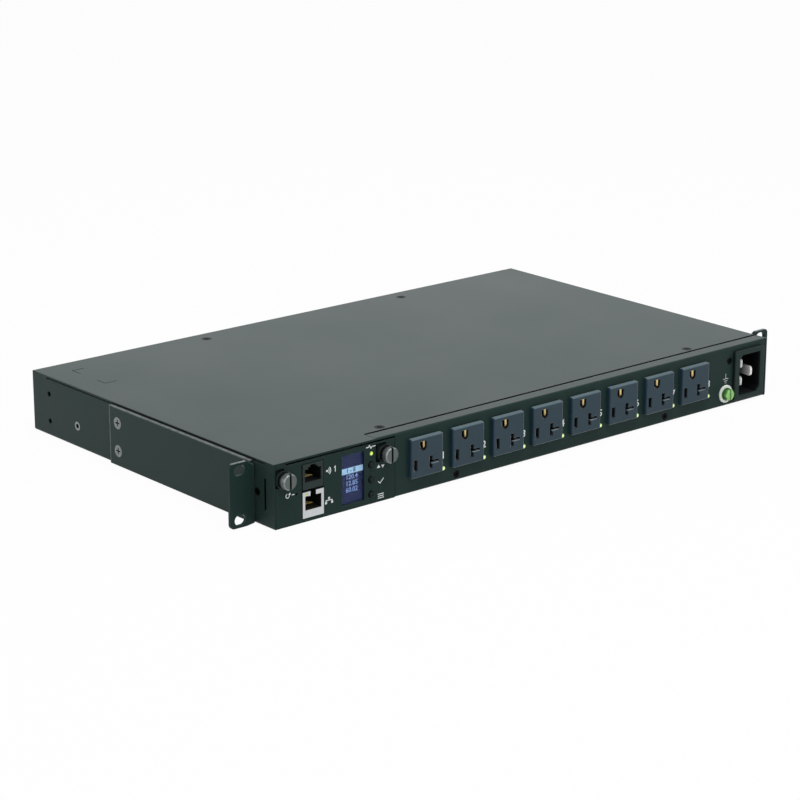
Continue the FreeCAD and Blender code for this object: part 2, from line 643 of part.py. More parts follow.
def right_module_bracket():
    """Threaded bracket behind the front panel at the module's right end."""
    foot = MID - BRACKET_DROP
    web = PANEL_LEFT + SHEET
    path = [Vector(x, y, foot) for x, y in (
        (web + BRACKET_FLANGE / 2, SHEET + SHEET), (web, SHEET + SHEET), (web, BRACKET_DEPTH + SHEET),
        (MODULE_RIGHT - BRACKET_REACH, BRACKET_DEPTH + SHEET))]
    bracket = folded(path, SHEET, BEND, UP * (BRACKET_DROP + BRACKET_TOP))
    return bracket.cut(rod(THUMB_XS[1], THUMB_Z, THUMB_SHANK + 2 * FIT, 0, 2 * BRACKET_DEPTH))


def module_plate():
    """Flat front plate of the module with all its cut-outs."""
    plate = box(MODULE_LEFT, MODULE_RIGHT, 0, MODULE_SHEET, PLATE_FOOT, MODULE_TOP)
    plate = plate.fuse(box(MODULE_LEFT, MODULE_LEFT + CORNER_LIP, 0, MODULE_SHEET,
                           MODULE_TOP - MODULE_TOP_GAP, UNDER_COVER - SEAM)).removeSplitter()
    low = THUMB_Z + NOTCH_RISE - NOTCH_HEIGHT / 2
    rear = 2 * MODULE_SHEET
    for x in THUMB_XS:
        plate = plate.cut(box(x - NOTCH_REACH, x, -1, rear, low, low + NOTCH_HEIGHT))
        plate = plate.cut(rod(x, THUMB_Z, SLEEVE_OUTER + 2 * FIT, -1, rear))
    low = MID - NETWORK_DROP - NETWORK_HEIGHT / 2 - JACK_GAP
    high = MID + SENSOR_RISE + SENSOR_HEIGHT / 2 + JACK_GAP
    plate = plate.cut(box(JACK_X - JACK_HALF, JACK_X + JACK_HALF, -1, rear, low, high))
    plate = plate.cut(block(DISPLAY_X, MID - DISPLAY_DROP, DISPLAY_WIDTH, DISPLAY_HEIGHT, MODULE_SHEET / 2,
                            -1, rear))
    for z in BUTTON_ZS:
        plate = plate.cut(rod(BUTTON_X, z, BUTTON_DIAMETER + 2 * BUTTON_GAP, -1, rear))
    plate = plate.cut(rod(BUTTON_X, MID + STATUS_RISE, STATUS_DIAMETER + 2 * FIT, -1, rear))
    return plate.cut(rod(MODULE_LEFT + RESET_PLACE, MID - RESET_DROP, RESET_HOLE, -1, rear))


def module_frame():
    """Folded frame: lips behind the plate, two front tabs for the sleeves and a rear wall for the board."""
    left = MODULE_LEFT + SEAM
    right = MODULE_RIGHT - SEAM
    top = THUMB_Z + SLEEVE_OUTER / 2
    board_left = MODULE_LEFT + CONTROL_BOARD_INSET
    board_right = board_left + CONTROL_BOARD_WIDTH
    path = [Vector(left, y, z) for y, z in (
        (TAB_SETBACK, top), (TAB_SETBACK, FRAME_FOOT), (FRAME_DEPTH, FRAME_FOOT), (FRAME_DEPTH, top))]
    frame = folded(path, MODULE_SHEET, BEND, Vector(right - left, 0, 0))
    floor = FRAME_FOOT + MODULE_SHEET + BEND
    shelf = TAB_SETBACK + MODULE_SHEET + BEND
    inner_left = MODULE_LEFT + TAB_WIDTH
    inner_right = MODULE_RIGHT - TAB_WIDTH
    frame = frame.cut(box(inner_left, inner_right, 0, shelf, FRAME_FOOT, CHASSIS_HEIGHT))
    path = [Vector(inner_left, y, z) for y, z in (
        (MODULE_SHEET, FRAME_FOOT + FRAME_LIP), (MODULE_SHEET, FRAME_FOOT), (2 * shelf, FRAME_FOOT))]
    frame = frame.fuse(folded(path, MODULE_SHEET, BEND, Vector(inner_right - inner_left, 0, 0)))
    window = DISPLAY_WIDTH / 2 + DISPLAY_BORDER + FIT
    buttons = BUTTON_X + BUTTON_COLLAR / 2 + FIT
    for x0, x1 in ((JACK_X - JACK_HALF, JACK_X + JACK_HALF), (DISPLAY_X - window, buttons)):
        frame = frame.cut(box(x0, x1, 0, shelf, FRAME_FOOT + MODULE_SHEET, CHASSIS_HEIGHT))
    frame = frame.removeSplitter()
    frame = frame.cut(box(left - 1, board_left, shelf, CHASSIS_DEPTH, floor, CHASSIS_HEIGHT))
    frame = frame.cut(box(board_right, right + 1, shelf, CHASSIS_DEPTH, floor, CHASSIS_HEIGHT))
    for x in THUMB_XS:
        frame = frame.cut(rod(x, THUMB_Z, SLEEVE_NECK + 2 * FIT, 0, shelf))
    middle = (MODULE_LEFT + MODULE_RIGHT) / 2
    foot = POWER_BOARD_TOP + PLUG_BLOCK_RISE
    half = PLUG_BLOCK_WIDTH / 2 + SEAM
    frame = frame.cut(box(middle - half, middle + half, shelf, CHASSIS_DEPTH, foot - SEAM,
                          foot + PLUG_BLOCK_HEIGHT + SEAM))
    rear = FRAME_DEPTH - MODULE_SHEET / 2
    for x in (board_left + BOARD_POST_INSET, board_right - BOARD_POST_INSET):
        for z in (floor + BOARD_POST_INSET, top - BOARD_POST_INSET):
            frame = frame.fuse(rod(x, z, BOARD_POST, CONTROL_BOARD_DEPTH + BOARD, rear))
    return frame


def sleeve(x):
    """Turned cup that holds a thumbscrew in its frame tab."""
    inner = SLEEVE_OUTER / 2 - SLEEVE_WALL
    bore = SLEEVE_NECK_BORE / 2
    floor = SLEEVE_FLOOR - TAB_SETBACK
    rear = -TAB_SETBACK - MODULE_SHEET
    cup = turned(((bore, floor), (inner, floor), (inner, SLEEVE_PROUD), (SLEEVE_OUTER / 2, SLEEVE_PROUD),
                  (SLEEVE_OUTER / 2, -TAB_SETBACK), (SLEEVE_NECK / 2, -TAB_SETBACK), (SLEEVE_NECK / 2, rear),
                  (bore, rear)))
    return placed(cup, Vector(x, 0, THUMB_Z), -BACK)


def thumbscrew(x):
    """Ribbed knob with a slot across its face, turned in one piece with its shank."""
    radius = KNOB_DIAMETER / 2
    screw = turned(((0, KNOB_PROUD), (radius - KNOB_CHAMFER, KNOB_PROUD), (radius, KNOB_PROUD - KNOB_CHAMFER),
                    (radius, -KNOB_REAR), (THUMB_SHANK / 2, -KNOB_REAR), (THUMB_SHANK / 2, -THUMB_TIP),
                    (0, -THUMB_TIP)))
    half = KNOB_RIB_DEPTH * 1.1
    groove = prism([Vector(radius - KNOB_RIB_DEPTH, 0, 0), Vector(radius + KNOB_RIB_DEPTH, -half, 0),
                    Vector(radius + KNOB_RIB_DEPTH, half, 0)], UP * KNOB_PROUD)
    grooves = []
    for rib in range(KNOB_RIBS):
        cut = groove.copy()
        cut.rotate(Vector(), UP, 360 * (rib + 0.5) / KNOB_RIBS)
        grooves.append(cut)
    screw = screw.cut(grooves)
    slot = box(-KNOB_SLOT / 2, KNOB_SLOT / 2, -radius, radius, KNOB_PROUD - KNOB_SLOT_DEPTH, KNOB_PROUD)
    return placed(screw.cut(slot), Vector(x, 0, THUMB_Z), -BACK)


def jack_opening(floor, steps, y0, y1):
    """Stepped opening of a jack, latch slot upward: each step is a width and the height of its upper end."""
    right = []
    foot = floor
    for width, top in steps:
        right += [(width / 2, foot), (width / 2, top)]
        foot = top
    points = [Vector(JACK_X + x, y0, z) for x, z in right]
    points += [Vector(JACK_X - x, y0, z) for x, z in right[::-1]]
    return prism(points, BACK * (y1 - y0))


def jack_contacts(floor):
    """Contact springs that rise from a jack's rear wall to their free ends near the front."""
    contacts = []
    for number in range(CONTACT_COUNT):
        x = JACK_X + (number - (CONTACT_COUNT - 1) / 2) * CONTACT_PITCH - CONTACT_WIDTH / 2
        points = [Vector(x, y, floor + z) for y, z in (
            (JACK_DEPTH, CONTACT_ROOT), (JACK_DEPTH, CONTACT_ROOT + CONTACT_WIDTH),
            (CONTACT_TIP, CONTACT_RISE), (CONTACT_TIP, CONTACT_RISE - CONTACT_WIDTH))]
        contacts.append(prism(points, Vector(CONTACT_WIDTH, 0, 0)))
    return contacts


SENSOR_FOOT = MID + SENSOR_RISE - SENSOR_HEIGHT / 2
SENSOR_FLOOR_Z = SENSOR_FOOT + SENSOR_FLOOR
SENSOR_SHOULDER = SENSOR_FLOOR_Z + SENSOR_OPEN
NETWORK_FOOT = MID - NETWORK_DROP - NETWORK_HEIGHT / 2
NETWORK_TOP = NETWORK_FOOT + NETWORK_HEIGHT
NETWORK_FLOOR_Z = NETWORK_FOOT + NETWORK_FLOOR
NETWORK_SHOULDER = NETWORK_FLOOR_Z + NETWORK_OPEN


def sensor_jack():
    """Moulded jack for the sensor lead."""
    jack = box(JACK_X - SENSOR_WIDTH / 2, JACK_X + SENSOR_WIDTH / 2, -JACK_PROUD, CONTROL_BOARD_DEPTH,
               SENSOR_FOOT, SENSOR_FOOT + SENSOR_HEIGHT)
    steps = ((PLUG_WIDTH, SENSOR_SHOULDER), (LATCH_WIDTH, SENSOR_SHOULDER + LATCH_HEIGHT),
             (LATCH_SLOT, SENSOR_SHOULDER + 2 * LATCH_HEIGHT))
    return jack.cut(jack_opening(SENSOR_FLOOR_Z, steps, -JACK_PROUD, JACK_DEPTH))


def link_light(gap):
    """Square light guide above the network opening's left shoulder, with a gap all round for its channel."""
    half = LINK_LIGHT / 2 + gap
    x = JACK_X - LINK_LIGHT_PLACE
    z = NETWORK_SHOULDER + LINK_LIGHT_RISE
    return box(x - half, x + half, -JACK_PROUD, CONTROL_BOARD_DEPTH, z - half, z + half)


def network_jack_shell():
    """Folded metal shell of the network jack, open at the rear and at the latch slot."""
    half = NETWORK_WIDTH / 2
    shell = box(JACK_X - half, JACK_X + half, -JACK_PROUD, CONTROL_BOARD_DEPTH, NETWORK_FOOT, NETWORK_TOP)
    wall = NETWORK_SHELL
    shell = shell.cut(box(JACK_X - half + wall, JACK_X + half - wall, wall - JACK_PROUD, CONTROL_BOARD_DEPTH,
                          NETWORK_FOOT + wall, NETWORK_TOP - wall))
    steps = ((PLUG_WIDTH, NETWORK_SHOULDER), (LATCH_SLOT, NETWORK_TOP))
    return shell.cut([jack_opening(NETWORK_FLOOR_Z, steps, -JACK_PROUD, JACK_DEPTH), link_light(FIT)])


def network_jack_insert():
    """Moulded body inside the shell."""
    half = NETWORK_WIDTH / 2 - NETWORK_SHELL - FIT / 2
    front = NETWORK_SHELL - JACK_PROUD
    top = NETWORK_TOP - NETWORK_SHELL - FIT / 2
    insert = box(JACK_X - half, JACK_X + half, front, CONTROL_BOARD_DEPTH,
                 NETWORK_FOOT + NETWORK_SHELL + FIT / 2, top)
    steps = ((PLUG_WIDTH, NETWORK_SHOULDER), (LATCH_SLOT, top))
    return insert.cut([jack_opening(NETWORK_FLOOR_Z, steps, front, JACK_DEPTH), link_light(FIT)])


def display_piece(y0, depth, border):
    """Flat rectangular piece of the display."""
    return block(DISPLAY_X, MID - DISPLAY_DROP, DISPLAY_WIDTH + 2 * border, DISPLAY_HEIGHT + 2 * border,
                 MODULE_SHEET / 2, y0, y0 + depth)


def control_board():
    """Circuit board of the module."""
    left = MODULE_LEFT + CONTROL_BOARD_INSET
    return box(left, left + CONTROL_BOARD_WIDTH, CONTROL_BOARD_DEPTH, CONTROL_BOARD_DEPTH + BOARD,
               FRAME_FOOT + CONTROL_BOARD_MARGIN, MODULE_TOP - CONTROL_BOARD_MARGIN)


SWITCH_FACE = CONTROL_BOARD_DEPTH - SWITCH_DEPTH


def push_button(z):
    """Round button with its retaining collar and stem."""
    radius = BUTTON_DIAMETER / 2
    ease = BUTTON_PROUD / 2
    collar = -MODULE_SHEET - BUTTON_COLLAR_DEPTH
    tip = -SWITCH_FACE - STEM_ENTRY
    button = turned(((0, BUTTON_PROUD), (radius - ease, BUTTON_PROUD), (radius, BUTTON_PROUD - ease),
                     (radius, -MODULE_SHEET), (BUTTON_COLLAR / 2, -MODULE_SHEET), (BUTTON_COLLAR / 2, collar),
                     (BUTTON_STEM / 2, collar), (BUTTON_STEM / 2, tip), (0, tip)))
    return placed(button, Vector(BUTTON_X, 0, z), -BACK)


def reset_plunger():
    """Plunger of the reset switch behind its pinhole."""
    tip = SWITCH_FACE + STEM_ENTRY
    return rod(MODULE_LEFT + RESET_PLACE, MID - RESET_DROP, BUTTON_STEM, RESET_REACH, tip)


def switches():
    """Switch bodies on the control board, each with a well for its stem."""
    places = [(BUTTON_X, z, SWITCH_SIZE / 2) for z in BUTTON_ZS]
    places.append((MODULE_LEFT + RESET_PLACE, MID - RESET_DROP, RESET_SWITCH_SIZE / 2))
    bodies = []
    for x, z, half in places:
        body = box(x - half, x + half, SWITCH_FACE, CONTROL_BOARD_DEPTH, z - half, z + half)
        bodies.append(body.cut(rod(x, z, BUTTON_STEM + 2 * FIT, SWITCH_FACE, SWITCH_FACE + SWITCH_WELL)))
    return bodies


def light_pipe(x, z, diameter, proud, rear):
    """Clear rod with an eased head that carries a light to the front."""
    radius = diameter / 2
    ease = proud / 2
    pipe = turned(((0, proud), (radius - ease, proud), (radius, proud - ease), (radius, -rear), (0, -rear)))
    return placed(pipe, Vector(x, 0, z), -BACK)


def module_plug():
    """Plug block on the rear of the control board."""
    middle = (MODULE_LEFT + MODULE_RIGHT) / 2
    foot = POWER_BOARD_TOP + PLUG_BLOCK_RISE
    return box(middle - PLUG_BLOCK_WIDTH / 2, middle + PLUG_BLOCK_WIDTH / 2, CONTROL_BOARD_DEPTH + BOARD,
               PLUG_BLOCK_REAR, foot, foot + PLUG_BLOCK_HEIGHT)


def module_socket():
    """Socket on the power board that takes the module's plug."""
    middle = (MODULE_LEFT + MODULE_RIGHT) / 2
    foot = POWER_BOARD_TOP + PLUG_BLOCK_RISE
    inner = PLUG_BLOCK_WIDTH / 2 + FIT
    outer = inner + SOCKET_WALL
    socket = box(middle - outer, middle + outer, SOCKET_FRONT, SOCKET_REAR, POWER_BOARD_TOP,
                 foot + PLUG_BLOCK_HEIGHT + FIT + SOCKET_WALL)
    return socket.cut(box(middle - inner, middle + inner, SOCKET_FRONT, PLUG_BLOCK_REAR + SEAM, foot - FIT,
                          foot + PLUG_BLOCK_HEIGHT + FIT))


def outlet_housing():
    """Moulded outlet: eased face, body with snap barbs, slots and the pockets for its contacts."""
    front = -OUTLET_PROUD
    face = block(0, OUTLET_Z, OUTLET_WIDTH, OUTLET_HEIGHT, OUTLET_CORNER, front, 0)
    face = face.makeFillet(OUTLET_EDGE, front_edges(face, front))
    tall = OUTLET_HEIGHT - 2 * OUTLET_LIP
    body = block(0, OUTLET_Z, OUTLET_WIDTH - 2 * OUTLET_LIP, tall, OUTLET_CORNER, 0, OUTLET_DEPTH)
    barbs = []
    for side in (-1, 1):
        z = OUTLET_Z + side * tall / 2
        barb = [Vector(-BARB_LENGTH / 2, y, h) for y, h in (
            (SHEET + FIT, z), (SHEET + FIT, z + side * BARB_RISE), (SHEET + BARB_DEPTH, z))]
        barbs.append(prism(barb, Vector(BARB_LENGTH, 0, 0)))
    housing = face.fuse([body] + barbs)
    pocket = front + OUTLET_WALL
    spare = CLIP_SHEET + 2 * FIT
    arm_end = NEUTRAL_X + NEUTRAL_ARM
    line = LINE_SLOT_WIDTH / 2
    neutral = NEUTRAL_SLOT_WIDTH / 2
    earth = EARTH_WIDTH / 2
    line_tall = LINE_SLOT_HEIGHT / 2
    neutral_tall = NEUTRAL_SLOT_HEIGHT / 2
    earth_tall = EARTH_HEIGHT / 2
    arm_tall = NEUTRAL_ARM_HEIGHT / 2
    hole = [Vector(-BLADE_SHIFT + i * earth, front - 1, EARTH_Z + j * earth_tall)
            for i, j in ((-1, -1), (1, -1), (1, 1), (-1, 1))]
    cuts = [
        box(LINE_X - line, LINE_X + line, front - 1, pocket, BLADE_Z - line_tall, BLADE_Z + line_tall),
        box(LINE_X - line - spare, LINE_X + line + spare, pocket, OUTLET_DEPTH, BLADE_Z - line_tall,
            BLADE_Z + line_tall),
        box(NEUTRAL_X - neutral, NEUTRAL_X + neutral, front - 1, pocket, BLADE_Z - neutral_tall,
            BLADE_Z + neutral_tall),
        box(NEUTRAL_X, arm_end, front - 1, pocket, BLADE_Z - arm_tall, BLADE_Z + arm_tall),
        box(NEUTRAL_X - neutral - spare, arm_end, pocket, OUTLET_DEPTH, BLADE_Z - neutral_tall,
            BLADE_Z + neutral_tall),
        Part.Face(outline(hole, [earth * 0.99] * 2 + [earth / 6] * 2)).extrude(BACK * (OUTLET_WALL + 1)),
        box(-BLADE_SHIFT - earth - spare, -BLADE_SHIFT + earth + spare, pocket, OUTLET_DEPTH,
            EARTH_Z - earth_tall, EARTH_Z + earth_tall),
    ]
    housing = housing.cut(cuts)
    fronts = [side for side in housing.Faces if abs(side.BoundBox.YMax - front) < 1e-6]
    face = max(fronts, key=lambda side: side.Area)
    mouths = [wire for wire in face.Wires if not wire.isSame(face.OuterWire)]
    return housing.makeChamfer(SLOT_EDGE, [edge for wire in mouths for edge in wire.Edges])


def clip(x, z, slot, setback):
    """Spring clip folded from strip round one slot, open to the front, a setback behind the front wall."""
    half = slot / 2 + FIT + CLIP_SHEET
    front = OUTLET_WALL - OUTLET_PROUD + setback
    path = [Vector(x + side, y, z - CLIP_HEIGHT / 2) for side, y in (
        (half, front), (half, OUTLET_DEPTH), (-half, OUTLET_DEPTH), (-half, front))]
    return folded(path, CLIP_SHEET, FIT, UP * CLIP_HEIGHT)


def line_contacts():
    """Eight separate line contacts with tails through the outlet board."""
    contacts = []
    for x in OUTLET_XS:
        half = LINE_SLOT_WIDTH / 2
        tail_end = OUTLET_BOARD_DEPTH + BOARD + TAIL_LENGTH
        tail = box(x + LINE_X - half, x + LINE_X + half, OUTLET_DEPTH - CLIP_SHEET / 2, tail_end,
                   BLADE_Z - TAIL_SHEET / 2, BLADE_Z + TAIL_SHEET / 2)
        spring = clip(x + LINE_X, BLADE_Z, LINE_SLOT_WIDTH, BLADE_CLIP_SETBACK)
        contacts.append(spring.fuse(tail).removeSplitter())
    return contacts


def neutral_bus():
    """Strip behind the outlets with a clip in each neutral slot."""
    rear = OUTLET_DEPTH + BUS_SHEET
    middle = BLADE_Z - NEUTRAL_BUS_DROP
    foot = middle - NEUTRAL_BUS_HEIGHT / 2
    bus = box(OUTLET_XS[0] + NEUTRAL_X - BUS_OVERHANG, OUTLET_XS[-1] + NEUTRAL_X + BUS_OVERHANG,
              OUTLET_DEPTH, rear, foot, middle + NEUTRAL_BUS_HEIGHT / 2)
    half = NEUTRAL_SLOT_WIDTH / 2 + FIT + CLIP_SHEET
    pieces = []
    for x in OUTLET_XS:
        pieces.append(box(x + NEUTRAL_X - half, x + NEUTRAL_X + half, OUTLET_DEPTH, rear, foot,
                          BLADE_Z + CLIP_HEIGHT / 2))
        pieces.append(clip(x + NEUTRAL_X, BLADE_Z, NEUTRAL_SLOT_WIDTH, BLADE_CLIP_SETBACK))
    return bus.fuse(pieces).removeSplitter()


def earth_bus():
    """Strip behind the outlets with a clip in each earth hole."""
    bus = box(OUTLET_XS[0] - BLADE_SHIFT - BUS_OVERHANG, LIGHT_XS[-1] + EARTH_BUS_END, OUTLET_DEPTH,
              OUTLET_DEPTH + BUS_SHEET, EARTH_Z - EARTH_BUS_HEIGHT / 2, EARTH_Z + EARTH_BUS_HEIGHT / 2)
    clips = [clip(x - BLADE_SHIFT, EARTH_Z, EARTH_WIDTH, EARTH_CLIP_SETBACK) for x in OUTLET_XS]
    return bus.fuse(clips).removeSplitter()


def outlet_board():
    """Board that stands on the power board behind the outlets, slotted for the line tails."""
    board = box(OUTLET_XS[0] - OUTLET_WIDTH / 2, LIGHT_XS[-1] + LIGHT_DIAMETER, OUTLET_BOARD_DEPTH,
                OUTLET_BOARD_DEPTH + BOARD, POWER_BOARD_TOP, POWER_BOARD_TOP + OUTLET_BOARD_HEIGHT)
    half = LINE_SLOT_WIDTH / 2 + FIT
    tall = TAIL_SHEET / 2 + FIT
    return board.cut([box(x + LINE_X - half, x + LINE_X + half, OUTLET_DEPTH, CHASSIS_DEPTH, BLADE_Z - tall,
                          BLADE_Z + tall) for x in OUTLET_XS])


BOARD_LEFT = -INNER + POWER_BOARD_LEFT
STANDOFFS = [Vector(x, y, SHEET) for x in (BOARD_LEFT + STANDOFF_INSET, (BOARD_LEFT + ROW_RIGHT) / 2,
                                           ROW_RIGHT - STANDOFF_INSET)
             for y in (POWER_BOARD_FRONT + STANDOFF_INSET, POWER_BOARD_REAR - STANDOFF_INSET)]
SCREW_SPACE = BOARD_SCREW_SHANK / 2 + FIT


def power_board():
    """Main board on the standoffs."""
    board = box(BOARD_LEFT, ROW_RIGHT, POWER_BOARD_FRONT, POWER_BOARD_REAR, POWER_BOARD_FOOT, POWER_BOARD_TOP)
    return board.cut([Part.makeCylinder(SCREW_SPACE, POWER_BOARD_TOP, at) for at in STANDOFFS])


def standoffs():
    """Round posts between floor and power board."""
    post = Part.makeCylinder(STANDOFF_DIAMETER / 2, STANDOFF_HEIGHT)
    post = post.cut(Part.makeCylinder(SCREW_SPACE, STANDOFF_HEIGHT, Vector(0, 0, SHEET)))
    return [placed(post, at, UP) for at in STANDOFFS]


def board_screws():
    """Pan-head screws that hold the power board."""
    head = BOARD_SCREW_HEAD / 2
    shank = BOARD_SCREW_SHANK / 2
    screw = turned(((0, BOARD_SCREW_RISE), (head * 0.7, BOARD_SCREW_RISE), (head, BOARD_SCREW_RISE / 2),
                    (head, 0), (shank, 0), (shank, -BOARD_SCREW_DEPTH), (0, -BOARD_SCREW_DEPTH)))
    return [placed(screw, Vector(at.x, at.y, POWER_BOARD_TOP), UP) for at in STANDOFFS]


def eased(shape, size):
    """Block with its upper edges chamfered."""
    top = shape.BoundBox.ZMax
    return shape.makeChamfer(size, [edge for edge in shape.Edges
                                    if all(abs(point.Z - top) < 1e-6 for point in edge.Vertexes)])


def relays():
    """One relay on the power board behind each outlet."""
    cases = []
    for x in OUTLET_XS:
        case = box(x - RELAY_WIDTH / 2, x + RELAY_WIDTH / 2, RELAY_FRONT, RELAY_FRONT + RELAY_DEPTH,
                   POWER_BOARD_TOP, POWER_BOARD_TOP + RELAY_HEIGHT)
        cases.append(eased(case, RELAY_EDGE))
    return cases


def mains_converter():
    """Encapsulated supply for the relays and the module."""
    left = BOARD_LEFT + SUPPLY_PLACE
    return eased(box(left, left + SUPPLY_WIDTH, SUPPLY_FRONT, SUPPLY_FRONT + SUPPLY_DEPTH, POWER_BOARD_TOP,
                     POWER_BOARD_TOP + SUPPLY_HEIGHT), RELAY_EDGE)


def inlet_housing():
    """Moulded inlet: eased bezel, body and a deep opening with two slanted corners."""
    front = -INLET_PROUD
    bezel = block(INLET_X, INLET_Z, INLET_WIDTH, INLET_HEIGHT, INLET_CORNER, front, 0)
    bezel = bezel.makeFillet(INLET_EDGE, front_edges(bezel, front))
    body = block(INLET_X, INLET_Z, INLET_WIDTH - 2 * INLET_LIP, INLET_HEIGHT - 2 * INLET_LIP, INLET_CORNER,
                 0, INLET_DEPTH)
    wide = INLET_OPEN_WIDTH / 2
    tall = INLET_OPEN_HEIGHT / 2
    cut = INLET_OPEN_CUT
    opening = [Vector(INLET_X + x, front, INLET_Z + z) for x, z in (
        (-wide, -tall), (wide - cut, -tall), (wide, cut - tall), (wide, tall), (cut - wide, tall),
        (-wide, tall - cut))]
    housing = bezel.fuse(body).cut(prism(opening, BACK * (INLET_FLOOR - front)))
    width = PIN_SHEET / 2 + FIT
    height = PIN_WIDTH / 2 + FIT
    return housing.cut([box(x - width, x + width, 0, INLET_DEPTH, z - height, z + height)
                        for x, z in PIN_PLACES.values()])


def inlet_pin(x, z, tip):
    """Flat pin with a rounded, bevelled tip, through the inlet's floor, with a narrow tail."""
    half = PIN_WIDTH / 2
    points = [Vector(x - PIN_SHEET / 2, y, z + rise) for y, rise in (
        (tip, -half), (tip, half), (INLET_DEPTH, half), (INLET_DEPTH, -half))]
    blade = Part.Face(outline(points, [PIN_ROUND] * 2 + [0] * 2)).extrude(Vector(PIN_SHEET, 0, 0))
    rim = [edge for edge in blade.Edges if edge.BoundBox.YMax < tip + PIN_ROUND + 1e-3
           and edge.BoundBox.XLength < 1e-3]
    blade = blade.makeChamfer(PIN_SHEET / 4, rim)
    tail = box(x - PIN_TAIL_SHEET / 2, x + PIN_TAIL_SHEET / 2, INLET_DEPTH, INLET_DEPTH + PIN_TAIL,
               z - PIN_TAIL_WIDTH / 2, z + PIN_TAIL_WIDTH / 2)
    return blade.fuse(tail)


def wire(points):
    """Round wire along straight runs joined by arcs."""
    radii = [0] + [WIRE_BEND] * (len(points) - 2) + [0]
    path = outline(points, radii, closed=False)
    ring = Part.makeCircle(WIRE_DIAMETER / 2, points[0], points[1] - points[0])
    return path.makePipeShell([Part.Wire(ring)], True, True)


def supply_wire(name, row, end):
    """Wire from an inlet pin to the top of the power board."""
    x, z = PIN_PLACES[name]
    return wire([Vector(x, INLET_DEPTH + PIN_TAIL, z), Vector(x, row, z), Vector(end, row, z),
                 Vector(end, row, POWER_BOARD_TOP)])


def earth_wire():
    """Wire from the earth pin to the end of the earth bus."""
    x, z = PIN_PLACES["earth"]
    end = LIGHT_XS[-1] + EARTH_BUS_END - WIRE_DIAMETER
    return wire([Vector(x, INLET_DEPTH + PIN_TAIL, z), Vector(x, EARTH_WIRE_ROW, z),
                 Vector(end, EARTH_WIRE_ROW, z), Vector(end, EARTH_WIRE_ROW, EARTH_Z),
                 Vector(end, OUTLET_DEPTH + BUS_SHEET, EARTH_Z)])


def earth_washer():
    """Plain washer under the earthing screw."""
    bore = EARTH_SHANK / 2 + FIT
    rim = WASHER_DIAMETER / 2
    washer = turned(((bore, 0), (rim, 0), (rim, WASHER_DEPTH), (bore, WASHER_DEPTH)))
    return placed(washer, Vector(EARTH_SCREW_X, 0, EARTH_SCREW_Z), -BACK)


def earth_screw():
    """Earthing screw: slotted hexagon head on a collar, with its shank."""
    base = WASHER_DEPTH + EARTH_COLLAR_DEPTH
    top = base + EARTH_HEAD_DEPTH
    radius = EARTH_HEAD / 2
    corner = Vector(radius * 1.1547, 0, base)
    points = [FreeCAD.Rotation(UP, 60 * side).multVec(corner) for side in range(6)]
    crown = turned(((0, base), (corner.x, base), (corner.x, top - radius / 5), (radius * 0.95, top),
                    (0, top)))
    head = prism(points, UP * EARTH_HEAD_DEPTH).common(crown)
    shank = EARTH_SHANK / 2
    screw = turned(((0, base), (EARTH_COLLAR / 2, base), (EARTH_COLLAR / 2, WASHER_DEPTH),
                    (shank, WASHER_DEPTH), (shank, -EARTH_SHANK_DEPTH), (0, -EARTH_SHANK_DEPTH)))
    slot = box(-EARTH_SLOT / 2, EARTH_SLOT / 2, -EARTH_COLLAR, EARTH_COLLAR, top - EARTH_SLOT_DEPTH, top)
    return placed(screw.fuse(head).cut(slot), Vector(EARTH_SCREW_X, 0, EARTH_SCREW_Z), -BACK)


def save(name, shapes):
    """Write one node, a single solid or a group of solids."""
    shape = Part.makeCompound(shapes) if isinstance(shapes, list) else shapes
    shape = shape.copy()
    shape.translate(ORIGIN)
    shape.exportStep("parts/" + name + ".step")


os.makedirs("parts", exist_ok=True)
save("chassis_tray", chassis_tray())
save("top_cover", top_cover())
save("cover_screws", cover_screws())
save("left_rack_ear", rack_ear())
save("right_rack_ear", mirrored(rack_ear()))
save("ear_screws", ear_screws())
save("side_inserts", side_inserts())
save("black_screws", black_screws())
save("left_module_bracket", left_module_bracket())
save("right_module_bracket", right_module_bracket())
save("inlet_housing", inlet_housing())
for name, (x, z) in PIN_PLACES.items():
    save("inlet_" + name + "_pin", inlet_pin(x, z, EARTH_PIN_TIP if name == "earth" else LIVE_PIN_TIP))
save("line_wire", supply_wire("line", WIRE_ROW, ROW_RIGHT - WIRE_INSET))
save("neutral_wire", supply_wire("neutral", WIRE_ROW + WIRE_SPACE, ROW_RIGHT - WIRE_INSET - WIRE_SPACE))
save("earth_wire", earth_wire())
save("earth_washer", earth_washer())
save("earth_screw", earth_screw())
housing = outlet_housing()
for number, x in enumerate(OUTLET_XS, 1):
    save("outlet_" + str(number), housing.translated(Vector(x, 0, 0)))
save("line_contacts", line_contacts())
save("neutral_bus", neutral_bus())
save("earth_bus", earth_bus())
save("outlet_board", outlet_board())
save("outlet_lights", [light_pipe(x, LIGHT_Z, LIGHT_DIAMETER, LIGHT_PROUD, OUTLET_BOARD_DEPTH)
                       for x in LIGHT_XS])
save("power_board", power_board())
save("board_standoffs", standoffs())
save("board_screws", board_screws())
save("relays", relays())
save("mains_converter", mains_converter())
save("module_socket", module_socket())
save("module_plate", module_plate())
save("module_frame", module_frame())
save("control_board", control_board())
save("module_plug", module_plug())
save("left_sleeve", sleeve(THUMB_XS[0]))
save("right_sleeve", sleeve(THUMB_XS[1]))
save("left_thumbscrew", thumbscrew(THUMB_XS[0]))
save("right_thumbscrew", thumbscrew(THUMB_XS[1]))
save("sensor_jack", sensor_jack())
save("sensor_jack_contacts", jack_contacts(SENSOR_FLOOR_Z))
save("network_jack_shell", network_jack_shell())
save("network_jack_insert", network_jack_insert())
save("network_jack_contacts", jack_contacts(NETWORK_FLOOR_Z))
save("network_light", link_light(0))
